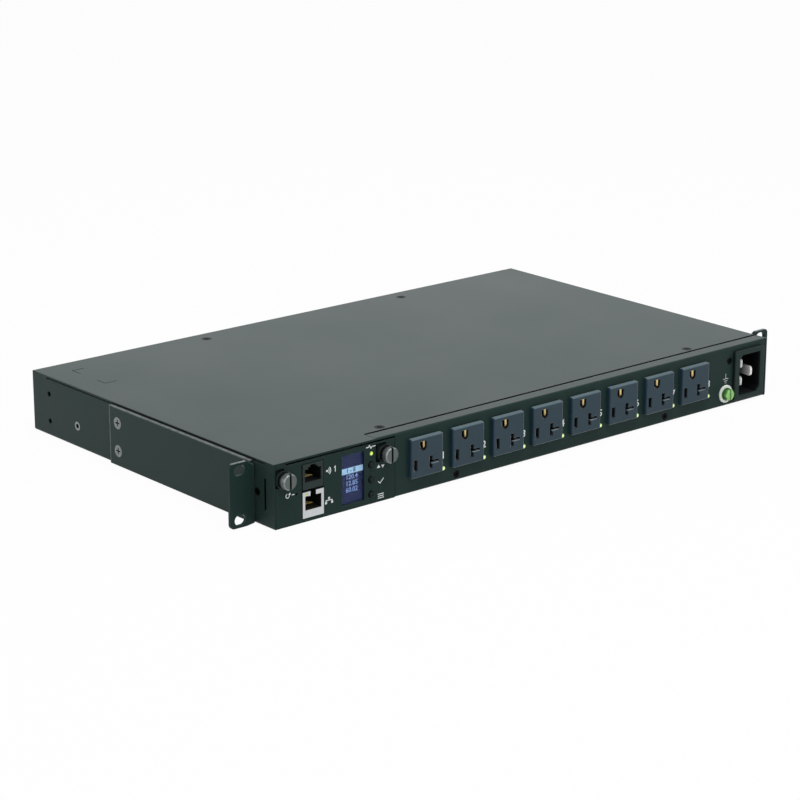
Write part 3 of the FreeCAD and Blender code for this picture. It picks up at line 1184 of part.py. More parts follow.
save("display_window", display_piece(MODULE_SHEET, WINDOW_DEPTH, DISPLAY_BORDER))
save("display_panel", display_piece(MODULE_SHEET + WINDOW_DEPTH + DISPLAY_GAP, DISPLAY_DEPTH, DISPLAY_BORDER))
save("status_light", light_pipe(BUTTON_X, MID + STATUS_RISE, STATUS_DIAMETER, STATUS_PROUD,
                                CONTROL_BOARD_DEPTH))
save("scroll_button", push_button(BUTTON_ZS[0]))
save("select_button", push_button(BUTTON_ZS[1]))
save("menu_button", push_button(BUTTON_ZS[2]))
save("reset_plunger", reset_plunger())
save("switches", switches())
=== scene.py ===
import bpy
import numpy as np
from math import cos, pi, radians, sin
from mathutils import Matrix, Vector


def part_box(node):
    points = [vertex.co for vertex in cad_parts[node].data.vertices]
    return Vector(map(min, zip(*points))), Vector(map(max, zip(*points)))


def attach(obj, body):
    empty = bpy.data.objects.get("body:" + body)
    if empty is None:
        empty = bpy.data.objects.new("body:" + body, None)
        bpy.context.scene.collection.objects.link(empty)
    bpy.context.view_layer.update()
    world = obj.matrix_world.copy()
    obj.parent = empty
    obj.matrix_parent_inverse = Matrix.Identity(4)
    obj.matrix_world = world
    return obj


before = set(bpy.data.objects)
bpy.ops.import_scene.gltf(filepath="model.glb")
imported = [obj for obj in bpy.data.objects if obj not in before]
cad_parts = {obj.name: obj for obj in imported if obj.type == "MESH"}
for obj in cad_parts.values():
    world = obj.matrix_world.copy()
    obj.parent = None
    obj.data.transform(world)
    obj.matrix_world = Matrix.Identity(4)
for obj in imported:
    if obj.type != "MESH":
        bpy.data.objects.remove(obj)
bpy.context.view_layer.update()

# Case: tray, cover, rack ears and the controller's plate and frame.
# They are folded from sheet steel and powder coated nearly black with a cool green cast.
# The coat is baked on, so it has a fine pebbled skin and a soft gloss.
MM = 0.001


def screen(red, green, blue):
    """Linear colour of a 0 to 255 screen colour: the offset base raised to the power 2.4."""
    return tuple(((np.array([red, green, blue]) / 255 + 0.055) / 1.055) ** 2.4) + (1.0,)


def shaded(colour, share):
    """Colour with its red, green and blue multiplied by a share."""
    return tuple(part * share for part in colour[:3]) + (1.0,)


def new_finish(name):
    """Material made of nodes, with a plain surface shader."""
    made = bpy.data.materials.new(name)
    made.use_nodes = True
    return made


def feed(node, inputs):
    """Values for a node's inputs: the output of another node is linked, and anything else is set."""
    for name, value in inputs.items():
        if isinstance(value, bpy.types.NodeSocket):
            node.id_data.links.new(value, node.inputs[name])
        else:
            node.inputs[name].default_value = value
    return node


def surface(finish, inputs):
    """Values for the inputs of a finish's surface shader."""
    return feed(finish.node_tree.nodes["Principled BSDF"], inputs)


def own_point(finish):
    """The place of a point in the object's own coordinates, which are those of the shared frame."""
    return finish.node_tree.nodes.new("ShaderNodeTexCoord").outputs["Object"]


def own_place(finish):
    """The three coordinates of a point in the shared frame, one by one."""
    parts = finish.node_tree.nodes.new("ShaderNodeSeparateXYZ")
    feed(parts, {"Vector": own_point(finish)})
    return [parts.outputs[axis] for axis in "XYZ"]


def reckon(finish, operation, first, *others):
    """Result of a sum on one value, or on several from left to right: numbers or outputs of nodes."""
    result = first
    for other in others or (0.0,):
        node = finish.node_tree.nodes.new("ShaderNodeMath")
        node.operation = operation
        result = feed(node, {0: result, 1: other}).outputs["Value"]
    return result


def distance(finish, value, middle):
    """How far a value is from a middle, without its sign."""
    return reckon(finish, "ABSOLUTE", reckon(finish, "SUBTRACT", value, middle))


def slope(finish, value, start, end, least=0.0, most=1.0):
    """Value that goes straight from least to most while another goes from start to end."""
    spread = finish.node_tree.nodes.new("ShaderNodeMapRange")
    feed(spread, {"Value": value, "From Min": start, "From Max": end, "To Min": least, "To Max": most})
    return spread.outputs["Result"]


def band(finish, value, start, end, fade):
    """1 for values between start and end and 0 outside, with a slope of the given width inside each end."""
    rise = slope(finish, value, start, start + fade)
    fall = slope(finish, value, end, end - fade)
    return reckon(finish, "MULTIPLY", rise, fall)


def blend(finish, share, first, second):
    """Colour that goes from one to another with a share from 0 to 1."""
    mix = finish.node_tree.nodes.new("ShaderNodeMix")
    mix.data_type = "RGBA"
    return feed(mix, {"Factor": share, "A": first, "B": second}).outputs["Result"]


def grain(finish, cells, detail=2.0, stretch=(1, 1, 1)):
    """Noise on the object's own coordinates, in cells a metre, with each axis stretched by a factor."""
    stretched = finish.node_tree.nodes.new("ShaderNodeMapping")
    feed(stretched, {"Vector": own_point(finish), "Scale": stretch})
    noise = finish.node_tree.nodes.new("ShaderNodeTexNoise")
    feed(noise, {"Vector": stretched.outputs["Vector"], "Scale": cells, "Detail": detail})
    return noise.outputs["Fac"]


def vary_colour(finish, value, colour, share):
    """Base colour that goes with a 0 to 1 value from (1 - share) to (1 + share) of the given colour."""
    varied = blend(finish, value, shaded(colour, 1 - share), shaded(colour, 1 + share))
    surface(finish, {"Base Color": varied})


def vary_gloss(finish, value, smooth, rough):
    """Roughness that goes with a 0 to 1 value from smooth to rough."""
    surface(finish, {"Roughness": slope(finish, value, 0.0, 1.0, smooth, rough)})


def raise_skin(finish, value, height, strength):
    """Bump of the given height in metres from a 0 to 1 value."""
    bump = finish.node_tree.nodes.new("ShaderNodeBump")
    feed(bump, {"Height": value, "Distance": height, "Strength": strength})
    surface(finish, {"Normal": bump.outputs["Normal"]})


def tint(finish, share, colour):
    """Base colour mixed with another one by a share from 0 to 1."""
    base = finish.node_tree.nodes["Principled BSDF"].inputs["Base Color"]
    surface(finish, {"Base Color": blend(finish, share, base.links[0].from_socket, colour)})
    return finish


def dull(finish, share):
    """Sheen taken off by a share from 0 to 1."""
    sheen = finish.node_tree.nodes["Principled BSDF"].inputs["Sheen Weight"].default_value
    surface(finish, {"Sheen Weight": slope(finish, share, 0.0, 1.0, sheen, 0.0)})


def dress(finish, *names):
    """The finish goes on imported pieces."""
    for name in names:
        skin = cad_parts[name].data.materials
        skin.clear()
        skin.append(finish)


COAT = screen(22, 43, 40)
COAT_PEBBLES = 1300.0
COAT_CLOUDS = 16.0
COAT_SHEEN = 0.62
COAT_SHEEN_TINT = (0.92, 0.99, 1.0, 1.0)
EDGE_HIGHLIGHT = screen(112, 120, 118)
SHADE_BLACK = screen(4, 8, 8)
FADE = 0.1 * MM
PLATE_FADE = (0.1 * MM, 0.5 * MM)
HIGHLIGHT_REACH = 0.9 * MM
HIGHLIGHT_CELLS = 220.0
EAR_PLATE_STEP = 1.6 * MM
EAR_FLANGE_DEPTH = 3.0 * MM
EAR_FOLD = 2.0 * MM
SEAM_DEPTH = 12.2 * MM
SEAM_LEFT = 14.8 * MM
SEAM_WIDTH = 0.4 * MM
COVER_FOOT = 0.4 * MM
COVER_SIDE = 0.3 * MM
WALL_SLOT_DEPTH = 8.6 * MM
WALL_SLOT_MIDDLE = 21.0 * MM
WALL_SLOT_HALF_WIDTH = 0.93 * MM
WALL_SLOT_HALF_HEIGHT = 10.23 * MM
panel_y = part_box("module_plate")[0].y
ear_low, ear_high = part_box("left_rack_ear")


def powder_coat(name):
    """Pebbled paint: fine noise raises the skin, slow noise clouds the colour and the gloss."""
    coat = new_finish(name)
    clouds = grain(coat, COAT_CLOUDS, detail=3.0)
    vary_colour(coat, clouds, COAT, share=0.06)
    vary_gloss(coat, clouds, smooth=0.44, rough=0.54)
    raise_skin(coat, grain(coat, COAT_PEBBLES), height=0.03 * MM, strength=0.35)
    surface(coat, {"Specular IOR Level": 0.11, "Sheen Weight": COAT_SHEEN})
    surface(coat, {"Sheen Roughness": 0.3, "Sheen Tint": COAT_SHEEN_TINT})
    return coat


def deepen(finish, colour, fade, face=panel_y):
    """Painted shade: base colour that goes straight to a darker one between two depths behind a face."""
    depth = own_place(finish)[1]
    return tint(finish, slope(finish, depth, face + fade[0], face + fade[1]), colour)


def dark_slot(coat):
    """Coat with painted shade: black on the walls of the upright slot in the left side of the tray."""
    x, y, z = own_place(coat)
    behind = distance(coat, y, panel_y + WALL_SLOT_DEPTH)
    above = distance(coat, z, WALL_SLOT_MIDDLE)
    walls = reckon(coat, "MULTIPLY",
                   reckon(coat, "LESS_THAN", behind, WALL_SLOT_HALF_WIDTH),
                   reckon(coat, "LESS_THAN", above, WALL_SLOT_HALF_HEIGHT),
                   reckon(coat, "LESS_THAN", x, 0.0))
    return tint(coat, walls, SHADE_BLACK)


def dark_edges(coat):
    """Coat with painted shade along some edges of the cover: black and without sheen, where the seams lie in
    shade.
    One is a strip behind the seam at the front flange, from the seam's left end on.
    The others are the feet of both side edges, as far back as the rack ears go."""
    x, y, z = own_place(coat)
    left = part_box("module_plate")[1].x - SEAM_LEFT
    front = panel_y + SEAM_DEPTH
    rear = front + SEAM_WIDTH
    strip = reckon(coat, "MULTIPLY",
                   slope(coat, y, front - FADE, front - FADE / 2),
                   slope(coat, y, rear + FADE, rear),
                   slope(coat, x, left, left + FADE))
    cover_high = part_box("top_cover")[1]
    foot = cover_high.z - COVER_FOOT
    side = cover_high.x - COVER_SIDE
    feet = reckon(coat, "MULTIPLY",
                  slope(coat, z, foot, foot - 1.5 * FADE),
                  slope(coat, reckon(coat, "ABSOLUTE", x), side, side + FADE),
                  band(coat, y, ear_low.y, ear_high.y, FADE))
    share = reckon(coat, "MAXIMUM", strip, feet)
    dull(coat, share)
    return tint(coat, share, SHADE_BLACK)


def worn_edges(coat):
    """Coat with a painted highlight on the top of an ear's side plate, on its rear end and on the top of its
    flange.
    A strip's share goes from 1 at its edge to 0 where it ends, and the largest one counts.
    Fine noise makes the highlight uneven. The fold between plate and flange has no sheen, a painted shade."""
    x, y, z = own_place(coat)
    plate_top = ear_high.z - EAR_PLATE_STEP
    flange_rear = ear_low.y + EAR_FLANGE_DEPTH
    plate = reckon(coat, "MULTIPLY",
                   slope(coat, z, plate_top - HIGHLIGHT_REACH, plate_top - HIGHLIGHT_REACH / 3),
                   slope(coat, y, flange_rear, flange_rear + HIGHLIGHT_REACH))
    rear = slope(coat, y, ear_high.y - HIGHLIGHT_REACH, ear_high.y - HIGHLIGHT_REACH / 3)
    flange = slope(coat, z, ear_high.z - HIGHLIGHT_REACH / 2, ear_high.z)
    strips = reckon(coat, "MAXIMUM", plate, rear, flange)
    uneven = slope(coat, grain(coat, HIGHLIGHT_CELLS), 0.3, 0.6, least=0.6)
    aside = reckon(coat, "ABSOLUTE", x)
    fold = reckon(coat, "MULTIPLY",
                  slope(coat, aside, EAR_FOLD - ear_high.x, EAR_FOLD / 2 - ear_high.x),
                  slope(coat, y, flange_rear, flange_rear - EAR_FOLD / 2))
    dull(coat, fold)
    return tint(coat, reckon(coat, "MULTIPLY", strips, uneven), EDGE_HIGHLIGHT)


dress(dark_slot(powder_coat("case_coat")), "chassis_tray", "module_frame")
dress(dark_edges(powder_coat("cover_coat")), "top_cover")
# Painted shade: the walls of the plate's holes go black behind its face.
dress(deepen(powder_coat("plate_coat"), SHADE_BLACK, PLATE_FADE), "module_plate")
dress(worn_edges(powder_coat("ear_coat")), "left_rack_ear", "right_rack_ear")

# Screws of the case and the ears, and the threaded inserts clinched into its side walls.
# The small ones are blackened steel, the ear screws and the inserts are zinc plated.
# The brackets for the thumbscrews share the black, and the posts and screws of the boards the zinc.
BLACK_STEEL = screen(8, 10, 10)
ZINC = screen(150, 154, 152)
INSERT_ZINC = screen(132, 138, 137)
PASSIVATED_ZINC = screen(118, 124, 122)
ZINC_GLOSS = (0.3, 0.42)
PLATING_CELLS = 900.0
SUNK_FADE = (0.2 * MM, 0.5 * MM)


def plated(name, colour, gloss, stretch=(1, 1, 1), metallic=1.0, shine=0.5):
    """Plated metal: noise drawn out along the brushing carries gloss and a faint relief."""
    metal = new_finish(name)
    surface(metal, {"Metallic": metallic, "Specular IOR Level": shine})
    lines = grain(metal, PLATING_CELLS, 3.0, stretch)
    vary_colour(metal, lines, colour, share=0.08)
    vary_gloss(metal, lines, *gloss)
    raise_skin(metal, lines, height=0.01 * MM, strength=0.3)
    return metal


def sunk_black(metal, face):
    """Metal with painted shade: black in its recesses, under faces that lie at the same distance left and
    right.
    """
    aside = reckon(metal, "ABSOLUTE", own_place(metal)[0])
    return tint(metal, slope(metal, aside, face - SUNK_FADE[0], face - SUNK_FADE[1]), SHADE_BLACK)


black_steel = plated("black_steel", BLACK_STEEL, gloss=(0.38, 0.55), metallic=0.0, shine=0.05)
dress(black_steel, "cover_screws", "black_screws", "left_module_bracket", "right_module_bracket")
dress(plated("zinc", ZINC, ZINC_GLOSS, metallic=0.6), "board_standoffs", "board_screws")
insert_zinc = plated("insert_zinc", INSERT_ZINC, ZINC_GLOSS, metallic=0.6)
dress(sunk_black(insert_zinc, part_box("side_inserts")[1].x), "side_inserts")
ear_zinc = plated("passivated_zinc", PASSIVATED_ZINC, ZINC_GLOSS, metallic=0.5)
dress(sunk_black(ear_zinc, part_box("ear_screws")[1].x), "ear_screws")

# Power inlet: a moulded housing with three flat nickel-plated pins in its recess.
# Insulated wires lead from the pins to the board and to the earth strip.
INLET_BLACK = screen(26, 44, 42)
RECESS_SHADE = screen(8, 11, 11)
RECESS_FADE = (-2.4 * MM, -0.4 * MM)
PIN_NICKEL = screen(245, 245, 243)
PIN_SHADE = screen(110, 112, 112)
PIN_FADE = (0.5 * MM, 9.0 * MM)
LINE_BLACK = screen(22, 22, 24)
NEUTRAL_WHITE = screen(212, 212, 206)
EARTH_GREEN = screen(38, 120, 52)
SPARK_CELLS = 2200.0
FLOW_CELLS = 45.0
FINE_SPARKS = 0.01 * MM


def moulded(name, colour, gloss, height=FINE_SPARKS, sheen=0.1):
    """Moulded plastic: fine noise is the spark-eroded texture of the mould, slow noise the melt's flow."""
    plastic = new_finish(name)
    flow = grain(plastic, FLOW_CELLS)
    vary_colour(plastic, flow, colour, share=0.05)
    vary_gloss(plastic, flow, *gloss)
    raise_skin(plastic, grain(plastic, SPARK_CELLS, detail=1.0), height, strength=0.3)
    surface(plastic, {"Specular IOR Level": 0.15, "Sheen Weight": sheen, "Sheen Roughness": 0.3})
    return plastic


inlet_plastic = moulded("inlet_plastic", INLET_BLACK, gloss=(0.42, 0.55), height=0.015 * MM)
# Painted shade: the inside of the recess goes nearly black behind the front of the housing.
dress(deepen(inlet_plastic, RECESS_SHADE, RECESS_FADE), "inlet_housing")
pin_nickel = plated("pin_nickel", PIN_NICKEL, gloss=(0.25, 0.35), stretch=(1, 0.1, 1), metallic=0.2)
pins = ("inlet_line_pin", "inlet_neutral_pin", "inlet_earth_pin")
dress(deepen(pin_nickel, PIN_SHADE, PIN_FADE), *pins)
for wire, colour in (("line", LINE_BLACK), ("neutral", NEUTRAL_WHITE), ("earth", EARTH_GREEN)):
    dress(moulded(wire + "_insulation", colour, gloss=(0.4, 0.5)), wire + "_wire")

# Earthing point: a green coated hexagon screw on a bright washer beside the inlet.
# The earth sign is printed above it in pale ink.
EARTH_COAT = screen(140, 196, 112)
EARTH_SHADE = screen(44, 96, 36)
EARTH_FADE = (0.2 * MM, 2.4 * MM)
WASHER_ZINC = screen(238, 242, 236)
INK = screen(228, 234, 232)
INK_DEPTH = 0.04 * MM
EARTH_SIGN_RISE = 0.9 * MM
EARTH_STEM_HIGH = 7.4 * MM
EARTH_STEM_WIDTH = 0.3 * MM
EARTH_BAR_HIGH = 3.6 * MM
EARTH_BAR_PITCH = 1.5 * MM
EARTH_BAR_WIDTH = 0.32 * MM
EARTH_BAR_HALVES = (2.6 * MM, 1.7 * MM, 0.8 * MM)


def green_coat():
    """Thin coloured coat over turned metal: slightly metallic, with fine noise in colour and gloss."""
    coat = new_finish("green_coat")
    clouds = grain(coat, 700.0, detail=3.0)
    vary_colour(coat, clouds, EARTH_COAT, share=0.1)
    vary_gloss(coat, clouds, smooth=0.25, rough=0.4)
    surface(coat, {"Metallic": 0.2})
    return coat


def printing_ink(name, colour):
    """Screen printed ink: fine noise thins the film a little."""
    ink = new_finish(name)
    film = grain(ink, 3000.0)
    vary_colour(ink, film, colour, share=0.05)
    vary_gloss(ink, film, smooth=0.5, rough=0.65)
    return ink


def stood(flat, y):
    """Points of the frame from an array of (x, z) points at one depth."""
    return np.column_stack([flat[:, 0], np.full(len(flat), y), flat[:, 1]])


def ribbon(path, width, y=panel_y, depth=INK_DEPTH):
    """Flat printed line: a rectangle of the given width and depth carried along a path of (x, z) points.
    At each point it is set square to the mean of the two directions that meet there.
    It is widened there to keep its width."""
    path = np.asarray(path, float)
    step = np.diff(path, axis=0)
    step /= np.linalg.norm(step, axis=1)[:, None]
    ahead = np.vstack([step, step[-1:]])
    behind = np.vstack([step[:1], step])
    mean = ahead + behind
    mean /= np.linalg.norm(mean, axis=1)[:, None]
    across = np.stack([-mean[:, 1], mean[:, 0]], 1) / np.sum(mean * ahead, 1)[:, None]
    left = path + across * width / 2
    right = path - across * width / 2
    rails = [stood(left, y - depth), stood(right, y - depth), stood(right, y), stood(left, y)]
    points = np.stack(rails, 1).reshape(-1, 3)
    row = np.arange(len(path) - 1)[:, None] * 4
    side = np.arange(4)[None, :]
    next_side = (side + 1) % 4
    walls = np.stack([row + side, row + next_side, row + 4 + next_side, row + 4 + side], -1)
    last = (len(path) - 1) * 4
    ends = np.array([[3, 2, 1, 0], [last, last + 1, last + 2, last + 3]])
    return points, np.vstack([walls.reshape(-1, 4), ends]).tolist()


def leaf(rim, y=panel_y, depth=INK_DEPTH):
    """Flat printed shape: a rim of (x, z) points, counted leftwise, given a depth."""
    rim = np.asarray(rim, float)
    count = len(rim)
    points = np.vstack([stood(rim, y - depth), stood(rim, y)])
    walls = []
    for side in range(count):
        next_side = (side + 1) % count
        walls.append([side, count + side, count + next_side, next_side])
    return points, walls + [list(range(count)), list(range(2 * count - 1, count - 1, -1))]


def arc(x, z, radius, start, end, points=25):
    """Points on a circle from one angle to another, in degrees, counted from the right and upwards."""
    turn = np.radians(np.linspace(start, end, points))
    return np.column_stack([x + radius * np.cos(turn), z + radius * np.sin(turn)])


def piece(name, shapes, finish, body):
    """One mesh of several (points, faces) shapes, put in the frame, with its finish and body."""
    points = []
    faces = []
    for shape_points, shape_faces in shapes:
        faces += [[len(points) + point for point in face] for face in shape_faces]
        points += shape_points.tolist()
    mesh = bpy.data.meshes.new(name)
    mesh.from_pydata(points, [], faces)
    mesh.validate()
    mesh.update()
    mesh.materials.append(finish)
    made = bpy.data.objects.new(name, mesh)
    bpy.context.scene.collection.objects.link(made)
    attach(made, body)
    return made


dress(deepen(green_coat(), EARTH_SHADE, EARTH_FADE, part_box("earth_screw")[0].y), "earth_screw")
dress(plated("washer_zinc", WASHER_ZINC, gloss=(0.28, 0.4), metallic=0.05), "earth_washer")
white_ink = printing_ink("white_ink", INK)
washer_low, washer_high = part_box("earth_washer")
sign_x = (washer_low.x + washer_high.x) / 2
sign_z = washer_high.z + EARTH_SIGN_RISE
stem = [(sign_x, sign_z + EARTH_STEM_HIGH), (sign_x, sign_z + EARTH_BAR_HIGH)]
earth_sign = [ribbon(stem, EARTH_STEM_WIDTH)]
for bar, half in enumerate(EARTH_BAR_HALVES):
    bar_z = sign_z + EARTH_BAR_HIGH - EARTH_BAR_PITCH * bar
    earth_sign.append(ribbon([(sign_x - half, bar_z), (sign_x + half, bar_z)], EARTH_BAR_WIDTH))
piece("earth_sign", earth_sign, white_ink, "chassis")

# Outlets: eight moulded housings snapped into the front panel, with spring contacts of brass strip inside.
# A clear rod beside each one carries its light to the front, under a printed number.
OUTLET_SLATE = screen(45, 62, 72)
OUTLET_GLINT = screen(88, 106, 114)
SILL_HIGHLIGHT = screen(128, 144, 150)
OUTLET_SHADE = screen(30, 50, 62)
SLOT_SHADE = screen(6, 9, 11)
OUTLET_ROUND = 0.9 * MM
SLOT_MARGIN = 2.0 * MM
SLOT_FADE = (0.12 * MM, 0.4 * MM)
ARM_DROP = 5.85 * MM
ARM_START = 3.0 * MM
ARM_END = 9.9 * MM
SILL_FADE = (0.1 * MM, 0.3 * MM)
SILL_EDGE = (0.45 * MM, 0.35 * MM)
BRASS = screen(255, 242, 196)
EARTH_BRASS = screen(250, 222, 152)
LEAF_LEAN = 0.85
CONTACT_SHADE = screen(15, 15, 14)
BRASS_FADE = (-1.0 * MM, 0.5 * MM)
EARTH_BRASS_FADE = (0.7 * MM, 1.1 * MM)
LENS = screen(200, 224, 160)
LENS_TIP = 1.0 * MM
LENS_CORE = 0.22
LENS_RIM = 0.5
NUMBER_HEIGHT = 4.7 * MM
NUMBER_DROP = 3.9 * MM
NUMBER_SHIFT = 0.31
TYPE_SIZE = 1.4


def reach_of(finish, across, above):
    """Distance of a point from a middle, from how far it lies across and above."""
    squares = [reckon(finish, "MULTIPLY", part, part) for part in (across, above)]
    return reckon(finish, "SQRT", reckon(finish, "ADD", *squares))


def lit_lens(name, colour, low, high, strength, pitch=1.0):
    """Clear plastic with a lamp behind it: fine noise scatters the glow, which shows on the tip only.
    The glow falls off with the distance from the middle of a lens.
    Where lenses repeat at a pitch, a triangle wave along X gives that distance for all of them."""
    lens = new_finish(name)
    haze = grain(lens, 800.0)
    vary_colour(lens, haze, colour, share=0.12)
    vary_gloss(lens, haze, smooth=0.25, rough=0.4)
    x, y, z = own_place(lens)
    across = reckon(lens, "PINGPONG", reckon(lens, "SUBTRACT", x, (low.x + high.x) / 2), pitch / 2)
    above = reckon(lens, "SUBTRACT", z, (low.z + high.z) / 2)
    wide = high.z - low.z
    fall = slope(lens, reach_of(lens, across, above), wide * LENS_CORE, wide * LENS_RIM, 1.0, 0.0)
    tip = reckon(lens, "LESS_THAN", y, panel_y + LENS_TIP)
    glow = reckon(lens, "MULTIPLY", tip, fall, strength)
    surface(lens, {"Emission Color": colour, "Emission Strength": glow})
    return tint(lens, reckon(lens, "SUBTRACT", 1.0, fall), shaded(colour, 0.2))


def strip_metal(name, colour, metallic=0.15):
    """Bright plated strip with noise drawn along it: the less metallic, the more it shows in a deep slot."""
    metal = new_finish(name)
    lines = grain(metal, PLATING_CELLS, 3.0, (1, 0.15, 1))
    vary_colour(metal, lines, colour, share=0.08)
    vary_gloss(metal, lines, smooth=0.3, rough=0.45)
    surface(metal, {"Metallic": metallic})
    return metal


def leaning_leaves(metal):
    """Spring leaves that lean towards each other: their height grows with the depth in a fixed proportion."""
    raise_skin(metal, reckon(metal, "MULTIPLY", own_place(metal)[1], LEAF_LEAN), height=1.0, strength=1.0)
    return metal


def polished_rims(plastic, low, high, pitch):
    """Moulded face with a painted highlight on its rims, and painted shade on its dull left side and black in
    its slots.
    The highlight is full on the top rim and half on the right and the bottom rim.
    The sill of the slot's side arm is pale with a painted highlight. All repeats along X at a pitch."""
    x, y, z = own_place(plastic)
    from_left = reckon(plastic, "SUBTRACT", x, low.x - MM)
    across = reckon(plastic, "SUBTRACT", reckon(plastic, "MODULO", from_left, pitch), MM)
    wide = high.x - low.x
    top = slope(plastic, z, high.z - 1.1 * OUTLET_ROUND, high.z - 0.8 * OUTLET_ROUND)
    bottom = slope(plastic, z, low.z + 0.8 * OUTLET_ROUND, low.z + 0.5 * OUTLET_ROUND, most=0.5)
    right = slope(plastic, across, wide - 0.8 * OUTLET_ROUND, wide - 0.5 * OUTLET_ROUND, most=0.5)
    left = slope(plastic, across, 0.9 * OUTLET_ROUND, 0.5 * OUTLET_ROUND)
    slots = reckon(plastic, "MULTIPLY",
                   band(plastic, across, SLOT_MARGIN, wide - SLOT_MARGIN, FADE),
                   band(plastic, z, low.z + SLOT_MARGIN, high.z - SLOT_MARGIN, FADE),
                   slope(plastic, y, low.y + SLOT_FADE[0], low.y + SLOT_FADE[1]))
    sill = distance(plastic, z, (low.z + high.z) / 2 - ARM_DROP)
    sill_light = reckon(plastic, "MULTIPLY",
                    slope(plastic, sill, *SILL_EDGE),
                    band(plastic, across, wide / 2 + ARM_START, wide / 2 + ARM_END, 2 * FADE),
                    slope(plastic, y, low.y + SILL_FADE[0], low.y + SILL_FADE[1]))
    dull(plastic, left)
    tint(plastic, reckon(plastic, "MAXIMUM", top, bottom, right), OUTLET_GLINT)
    tint(plastic, left, OUTLET_SHADE)
    tint(plastic, slots, SLOT_SHADE)
    return tint(plastic, sill_light, SILL_HIGHLIGHT)


def number(text, x, z, height, y=panel_y, depth=INK_DEPTH, weight=0.025):
    """Printed figure centred on a point of the panel: its flat outline is given a depth and stood upright.
    Its strokes are made bolder by a weight, a share of the height."""
    outline = bpy.data.curves.new("figure", "FONT")
    outline.body = text
    outline.align_x = "CENTER"
    outline.align_y = "CENTER"
    outline.size = height * TYPE_SIZE
    outline.offset = height * weight
    outline.extrude = depth / 2
    outline.resolution_u = 4
    holder = bpy.data.objects.new("figure", outline)
    solid = bpy.data.meshes.new_from_object(holder)
    solid.transform(Matrix.Translation((x, y - depth / 2, z)) @ Matrix.Rotation(radians(90), 4, "X"))
    points = np.array([point.co for point in solid.vertices])
    faces = [list(face.vertices) for face in solid.polygons]
    bpy.data.objects.remove(holder)
    bpy.data.meshes.remove(solid)
    return points, faces


outlets = ["outlet_" + str(count) for count in range(1, 9)]
outlet_boxes = [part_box(name) for name in outlets]
pitch = outlet_boxes[1][0].x - outlet_boxes[0][0].x
slate = moulded("outlet_plastic", OUTLET_SLATE, gloss=(0.46, 0.58), height=0.02 * MM, sheen=1.0)
dress(polished_rims(slate, *outlet_boxes[0], pitch), *outlets)
# Painted shade: the brass contacts darken from their fronts towards the back, where their slots lie in shade.
dress(deepen(strip_metal("brass", BRASS), CONTACT_SHADE, BRASS_FADE), "line_contacts", "neutral_bus")
earth_brass = leaning_leaves(strip_metal("earth_brass", EARTH_BRASS, metallic=0.9))
dress(deepen(earth_brass, CONTACT_SHADE, EARTH_BRASS_FADE), "earth_bus")
lights_low, lights_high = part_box("outlet_lights")
first_high = Vector((lights_low.x + lights_high.z - lights_low.z, lights_high.y, lights_high.z))
outlet_lens = lit_lens("outlet_lens", LENS, lights_low, first_high, strength=0.7, pitch=pitch)
dress(outlet_lens, "outlet_lights")
gap = outlet_boxes[1][0].x - outlet_boxes[0][1].x
figures = []
for count, (low, high) in enumerate(outlet_boxes, 1):
    figure_z = (low.z + high.z) / 2 - NUMBER_DROP
    figures.append(number(str(count), high.x + NUMBER_SHIFT * gap, figure_z, NUMBER_HEIGHT))
piece("outlet_numbers", figures, white_ink, "chassis")

# Boards behind the outlets: glass laminate with green resist, on plated posts.
# They carry the relays, the mains converter and the socket for the controller.
RESIST = screen(24, 92, 58)
TRACK = screen(40, 122, 78)
RELAY_BLACK = screen(38, 38, 42)
CONVERTER_BLACK = screen(26, 26, 28)
SOCKET_BLACK = screen(30, 30, 32)
TRACK_CELLS = 60.0


def laminate():
    """Circuit board: the joints of a brick pattern stand for copper tracks under the resist."""
    board = new_finish("laminate")
    tracks = board.node_tree.nodes.new("ShaderNodeTexBrick")
    feed(tracks, {"Vector": own_point(board), "Scale": TRACK_CELLS, "Mortar Size": 0.012})
    feed(tracks, {"Color1": RESIST, "Color2": shaded(RESIST, 0.92), "Mortar": TRACK})
    surface(board, {"Base Color": tracks.outputs["Color"]})
    vary_gloss(board, grain(board, 300.0), smooth=0.25, rough=0.4)
    raise_skin(board, tracks.outputs["Fac"], height=0.02 * MM, strength=0.3)
    return board


dress(laminate(), "outlet_board", "power_board", "control_board")
dress(moulded("relay_plastic", RELAY_BLACK, gloss=(0.3, 0.42)), "relays")
converter_plastic = moulded("converter_plastic", CONVERTER_BLACK, gloss=(0.45, 0.6), height=0.02 * MM)
dress(converter_plastic, "mains_converter")
socket_plastic = moulded("socket_plastic", SOCKET_BLACK, gloss=(0.4, 0.5))
dress(socket_plastic, "module_socket", "module_plug", "switches")

# Jacks of the controller: a black moulded one for sensors above a metal-shelled one for the network.
# Both have gold plated contact springs; the lower one has a small light above its opening.
JACK_GREY = screen(40, 51, 49)
JACK_SHADE = screen(10, 13, 13)
JACK_FADE = (0.0, 1.0 * MM)
SHELL_TIN = screen(200, 203, 205)
LINK_LENS = screen(200, 215, 110)
GOLD = screen(250, 218, 140)

jack_plastic = moulded("jack_plastic", JACK_GREY, gloss=(0.35, 0.48))
# Painted shade: the jacks go black inside their openings.
dress(deepen(jack_plastic, JACK_SHADE, JACK_FADE), "sensor_jack", "network_jack_insert")
dress(plated("shell_tin", SHELL_TIN, gloss=(0.26, 0.38), stretch=(1, 1, 0.2)), "network_jack_shell")
dress(strip_metal("gold", GOLD), "sensor_jack_contacts", "network_jack_contacts")
dress(lit_lens("link_lens", LINK_LENS, *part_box("network_light"), strength=0.7), "network_light")

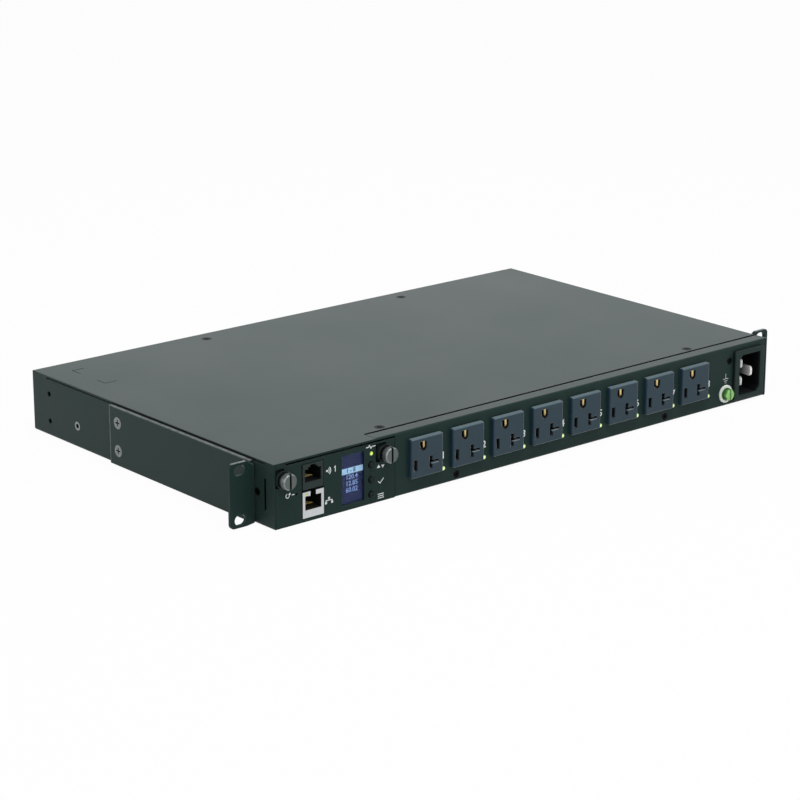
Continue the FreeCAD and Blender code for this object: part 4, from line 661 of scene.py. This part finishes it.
# Display: a lit panel behind a clear window, with a pale bar and rows of plain figures.
# The picture is laid on the front of the panel.
SCREEN_BLUE = screen(28, 36, 66)
SCREEN_PALE = screen(140, 172, 192)
SCREEN_FIGURE = screen(118, 142, 186)
PIXELS = 4200.0
WINDOW_TINT = (0.93, 0.95, 1.0, 1.0)
PICTURE_DEPTH = 0.05 * MM
BAR_RISE = 4.8 * MM
BAR_HEIGHT = 3.8 * MM
CHOICE_HEIGHT = 2.8 * MM
CHOICE_DEPTH = 0.02 * MM
ROW_HEIGHT = 3.1 * MM
ROW_SHIFT = 0.6 * MM
ROW_WEIGHT = 0.01
ROWS = (("120.4", 0.6 * MM), ("12.85", -3.6 * MM), ("60.02", -7.8 * MM))


def lit_screen(name, colour, strength):
    """Lit screen: a brick pattern without offset makes square cells, and its joints darken the glow."""
    glow = new_finish(name)
    upright = glow.node_tree.nodes.new("ShaderNodeMapping")
    feed(upright, {"Vector": own_point(glow), "Rotation": (radians(-90), 0, 0)})
    cells = glow.node_tree.nodes.new("ShaderNodeTexBrick")
    cells.offset = 0.0
    feed(cells, {"Vector": upright.outputs["Vector"], "Scale": PIXELS, "Mortar Size": 0.08})
    feed(cells, {"Brick Width": 1.0, "Row Height": 1.0})
    feed(cells, {"Color1": colour, "Color2": colour, "Mortar": shaded(colour, 0.7)})
    surface(glow, {"Base Color": cells.outputs["Color"], "Emission Color": cells.outputs["Color"]})
    surface(glow, {"Emission Strength": strength, "Roughness": 0.5, "Specular IOR Level": 0.1})
    return glow


def window_glass():
    """Clear window with an anti-glare face: low reflection and a trace of haze."""
    glass = new_finish("window_glass")
    surface(glass, {"Transmission Weight": 1.0, "IOR": 1.15, "Base Color": WINDOW_TINT})
    vary_gloss(glass, grain(glass, 400.0), smooth=0.04, rough=0.09)
    return glass


dress(lit_screen("screen_blue", SCREEN_BLUE, strength=0.5), "display_panel")
dress(window_glass(), "display_window")
screen_low, screen_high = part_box("display_panel")
screen_y = screen_low.y
screen_x = (screen_low.x + screen_high.x) / 2
screen_z = (screen_low.z + screen_high.z) / 2
bar_z = screen_z + BAR_RISE
bar = ribbon([(screen_low.x, bar_z), (screen_high.x, bar_z)], BAR_HEIGHT, screen_y, PICTURE_DEPTH)
pale_glow = lit_screen("screen_pale", SCREEN_PALE, strength=0.6)
piece("display_bar", [bar], pale_glow, "module")
row_x = screen_x + ROW_SHIFT
rows = []
for text, rise in ROWS:
    rows.append(number(text, row_x, screen_z + rise, ROW_HEIGHT, screen_y, PICTURE_DEPTH, ROW_WEIGHT))
figure_glow = lit_screen("screen_figure", SCREEN_FIGURE, strength=0.6)
piece("display_rows", rows, figure_glow, "module")
choice = number("1 - 8", screen_x, bar_z, CHOICE_HEIGHT, screen_y - PICTURE_DEPTH, CHOICE_DEPTH)
dark_glow = lit_screen("screen_dark", SCREEN_BLUE, strength=0.4)
piece("display_choice", [choice], dark_glow, "module")

# Buttons, reset plunger and status light of the controller, with their printed signs.
# Each sign is a plain symbol in pale ink beside the piece that it stands for.
BUTTON_GREY = screen(10, 29, 26)
BUTTON_BLACK = screen(10, 14, 13)
BUTTON_FADE = (0.1 * MM, 0.5 * MM)
BUTTON_GLOSS = (0.45, 0.6)
STATUS_LENS = screen(190, 215, 95)
SIGN_LINE = 0.5 * MM
BUTTON_SIGN_SHIFT = 4.6 * MM
BUTTON_SIGN_DROP = 2.6 * MM
JACK_SIGN_SHIFT = 37.6 * MM
SENSOR_SIGN_RISE = 6.1 * MM
NETWORK_SIGN_RISE = 6.4 * MM
RESET_SIGN_SHIFT = 8.9 * MM
RESET_SIGN_DROP = 3.3 * MM
STATUS_SIGN_SHIFT = -1.0 * MM
STATUS_SIGN_RISE = 14.4 * MM

buttons = ("scroll_button", "select_button", "menu_button")
button_boxes = [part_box(name) for name in buttons]
button_rubber = moulded("button_rubber", BUTTON_GREY, BUTTON_GLOSS, sheen=0.0)
# Painted shade: the sides of the buttons go black behind their faces.
dress(deepen(button_rubber, BUTTON_BLACK, BUTTON_FADE, button_boxes[0][0].y), *buttons)
dress(moulded("plunger_plastic", BUTTON_BLACK, BUTTON_GLOSS), "reset_plunger")
dress(lit_lens("status_lens", STATUS_LENS, *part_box("status_light"), strength=0.8), "status_light")
plate_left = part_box("module_plate")[0].x
button_left = button_boxes[0][0].x
beside_buttons = button_boxes[0][1].x + BUTTON_SIGN_SHIFT
top_row, middle_row, low_row = [(low.z + high.z) / 2 - BUTTON_SIGN_DROP for low, high in button_boxes]
signs = []


def sign(x, z, lines=(), leaves=()):
    """Symbol about a point, made of lines and filled leaves whose points are in millimetres."""
    for points in leaves:
        signs.append(leaf(np.asarray(points, float) * MM + (x, z)))
    for points in lines:
        signs.append(ribbon(np.asarray(points, float) * MM + (x, z), SIGN_LINE))


triangle = np.array([(-1.3, -0.7), (1.3, -0.7), (0.0, 1.3)])
square = np.array([(-0.75, -0.75), (0.75, -0.75), (0.75, 0.75), (-0.75, 0.75)])
sign(beside_buttons, top_row, leaves=[triangle + (-1.7, 0), -triangle + (1.7, 0)])
sign(beside_buttons, middle_row, lines=[[(-2.2, 0.2), (-0.6, -1.3), (2.4, 1.7)]])
sign(beside_buttons, low_row, lines=[[(-2.4, rise), (2.4, rise)] for rise in (-1.3, 0.0, 1.3)])
sensor_dot = arc(2.0, 0, 0.7, 0, 345, 24)
sensor_waves = [arc(2.0, 0, radius, -50, 50) for radius in (1.7, 2.9)]
figure_one = [(7.6, 1.1), (8.5, 1.8), (8.5, -1.8)]
sign(plate_left + JACK_SIGN_SHIFT, top_row + SENSOR_SIGN_RISE, sensor_waves + [figure_one], [sensor_dot])
network_lines = [[(3.4, 1.3), (3.4, 0.0)], [(1.0, -1.5), (1.0, 0.0), (5.8, 0.0), (5.8, -1.5)]]
network_boxes = [square + place for place in ((3.4, 1.3), (1.0, -1.5), (5.8, -1.5))]
sign(plate_left + JACK_SIGN_SHIFT, low_row + NETWORK_SIGN_RISE, network_lines, network_boxes)
reset_turn = [arc(0, 0, 1.3, 100, 380), [(3.2, 0), (5.2, 0)]]
reset_tip = [(0.5, 1.0), (2.2, 0.2), (2.1, 1.9)]
sign(plate_left + RESET_SIGN_SHIFT, top_row - RESET_SIGN_DROP, reset_turn, [reset_tip])
pulse = [(0, 0), (2.0, 0), (2.8, 1.1), (3.9, -1.1), (4.7, 0), (7.6, 0)]
sign(button_left + STATUS_SIGN_SHIFT, top_row + STATUS_SIGN_RISE, [pulse])
piece("module_signs", signs, white_ink, "module")

# Thumbscrews: turned from brass and nickel plated, each captive in a turned sleeve.
# Their knobs have straight ribs and a slot; the tool leaves fine rings on the faces.
KNOB_NICKEL = screen(88, 97, 95)
KNOB_RIM_HIGHLIGHT = screen(132, 140, 138)
KNOB_SHADE = screen(22, 28, 27)
KNOB_RADIUS = 5.2 * MM
KNOB_CHAMFER = 0.7 * MM
KNOB_FADE = (2.8 * MM, 4.6 * MM)
GROOVE_START = 0.3 * MM
RIB_DEPTH = 0.3 * MM
RING_PITCH = 0.45 * MM
SLEEVE_STEEL = screen(60, 70, 68)
left_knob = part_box("left_thumbscrew")
right_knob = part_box("right_thumbscrew")
left_axis = (left_knob[0].x + left_knob[1].x) / 2
right_axis = (right_knob[0].x + right_knob[1].x) / 2
knob_z = (left_knob[0].z + left_knob[1].z) / 2
knob_face = left_knob[0].y


def turned_nickel():
    """Turned metal: the sine of the distance from a screw's axis draws the tool's rings.
    The distance from the middle between the two axes has no sign, so that one axis serves both screws.
    The chamfer has a painted highlight, and the grooves between the ribs have painted shade."""
    metal = new_finish("turned_nickel")
    x, y, z = own_place(metal)
    aside = distance(metal, x, (left_axis + right_axis) / 2)
    across = reckon(metal, "SUBTRACT", aside, (right_axis - left_axis) / 2)
    reach = reach_of(metal, across, reckon(metal, "SUBTRACT", z, knob_z))
    swing = reckon(metal, "SINE", reckon(metal, "MULTIPLY", reach, 2 * pi / RING_PITCH))
    rings = slope(metal, swing, -1.0, 1.0)
    surface(metal, {"Metallic": 0.5})
    vary_colour(metal, rings, KNOB_NICKEL, share=0.12)
    vary_gloss(metal, grain(metal, 1200.0, detail=3.0), smooth=0.24, rough=0.36)
    raise_skin(metal, rings, height=0.01 * MM, strength=0.25)
    chamfer = KNOB_RADIUS - KNOB_CHAMFER
    tint(metal, slope(metal, reach, chamfer - FADE / 2, chamfer + FADE / 2), KNOB_RIM_HIGHLIGHT)
    deep, shallow = KNOB_RADIUS - 0.9 * RIB_DEPTH, KNOB_RADIUS - 0.2 * RIB_DEPTH
    groove = slope(metal, reach, deep, shallow, 1.0, 0.0)
    below = slope(metal, y, knob_face + GROOVE_START, knob_face + KNOB_CHAMFER)
    return tint(metal, reckon(metal, "MULTIPLY", groove, below), KNOB_SHADE)


knob_nickel = deepen(turned_nickel(), KNOB_SHADE, KNOB_FADE, knob_face)
dress(knob_nickel, "left_thumbscrew", "right_thumbscrew")
sleeve_steel = plated("sleeve_steel", SLEEVE_STEEL, gloss=(0.35, 0.5), metallic=0.5)
dress(sleeve_steel, "left_sleeve", "right_sleeve")

# Stage: pale floor, white surroundings and soft lamps, with the camera where the photograph was taken.
# The floor and the surroundings look white to the camera and in reflections, and the floor keeps the shadow.
CAMERA_PLACE = (-1.1050, -1.29125, 0.5276)
CAMERA_AZIMUTH = -40.302
CAMERA_ELEVATION = 16.962
LENS_LENGTH = 115.09
SENSOR_WIDTH = 36.0
CLIP_END = 50.0
FLOOR_HALF = 6.0
FLOOR_GREY = (0.8, 0.8, 0.8, 1.0)
FLOOR_WHITE = 0.95
WHITE = (1.0, 1.0, 1.0, 1.0)
SKY = 0.38


def white_for_camera(holder):
    """1 for rays from the camera, from a mirror-like surface or through glass, 0 for light on the object."""
    path = holder.node_tree.nodes.new("ShaderNodeLightPath")
    rays = [path.outputs[kind] for kind in ("Is Camera Ray", "Is Glossy Ray", "Is Transmission Ray")]
    return reckon(holder, "MAXIMUM", *rays)


def pale_floor():
    """Matt floor that is a diffuse surface for light and mostly white for the camera."""
    pale = new_finish("pale_floor")
    matt = surface(pale, {"Base Color": FLOOR_GREY, "Roughness": 1.0, "Specular IOR Level": 0.0})
    white = pale.node_tree.nodes.new("ShaderNodeEmission")
    share = reckon(pale, "MULTIPLY", white_for_camera(pale), FLOOR_WHITE)
    mix = pale.node_tree.nodes.new("ShaderNodeMixShader")
    feed(mix, {0: share, 1: matt.outputs["BSDF"], 2: white.outputs["Emission"]})
    feed(pale.node_tree.nodes["Material Output"], {"Surface": mix.outputs["Shader"]})
    return pale


corners = np.array([(-1, -1, 0), (1, -1, 0), (1, 1, 0), (-1, 1, 0)]) * FLOOR_HALF
floor_mesh = bpy.data.meshes.new("floor")
floor_mesh.from_pydata(corners.tolist(), [], [(0, 1, 2, 3)])
floor_mesh.materials.append(pale_floor())
floor = bpy.data.objects.new("floor", floor_mesh)
bpy.context.scene.collection.objects.link(floor)

world = bpy.data.worlds.new("surroundings")
bpy.context.scene.world = world
world.use_nodes = True
sky = slope(world, white_for_camera(world), 0.0, 1.0, SKY, 1.0)
feed(world.node_tree.nodes["Background"], {"Color": WHITE, "Strength": sky})


def lamp(name, place, size, watts):
    """Square soft lamp that faces the origin."""
    light = bpy.data.lights.new(name, "AREA")
    light.size = size
    light.energy = watts
    made = bpy.data.objects.new(name, light)
    bpy.context.scene.collection.objects.link(made)
    made.location = place
    made.rotation_euler = (-Vector(place)).to_track_quat("-Z", "Y").to_euler()


lamp("key_lamp", (-0.37, -2.1, 1.49), size=1.4, watts=9.5)
lamp("front_lamp", (-1.61, -1.9, 0.76), size=1.0, watts=5.0)
lamp("top_lamp", (-0.2, -0.6, 2.2), size=1.2, watts=29.0)
lamp("side_lamp", (-2.2, 1.2, 0.7), size=1.4, watts=8.4)
lamp("rear_lamp", (1.6, 1.9, 1.0), size=1.6, watts=5.0)

turn = radians(CAMERA_AZIMUTH)
rise = radians(CAMERA_ELEVATION)
toward_camera = Vector((sin(turn) * cos(rise), -cos(turn) * cos(rise), sin(rise)))
camera_data = bpy.data.cameras.new("camera")
camera_data.lens = LENS_LENGTH
camera_data.sensor_width = SENSOR_WIDTH
camera_data.clip_end = CLIP_END
camera = bpy.data.objects.new("camera", camera_data)
bpy.context.scene.collection.objects.link(camera)
camera.location = CAMERA_PLACE
camera.rotation_euler = (-toward_camera).to_track_quat("-Z", "Y").to_euler()
bpy.context.scene.camera = camera
bpy.context.scene.view_settings.view_transform = "Standard"
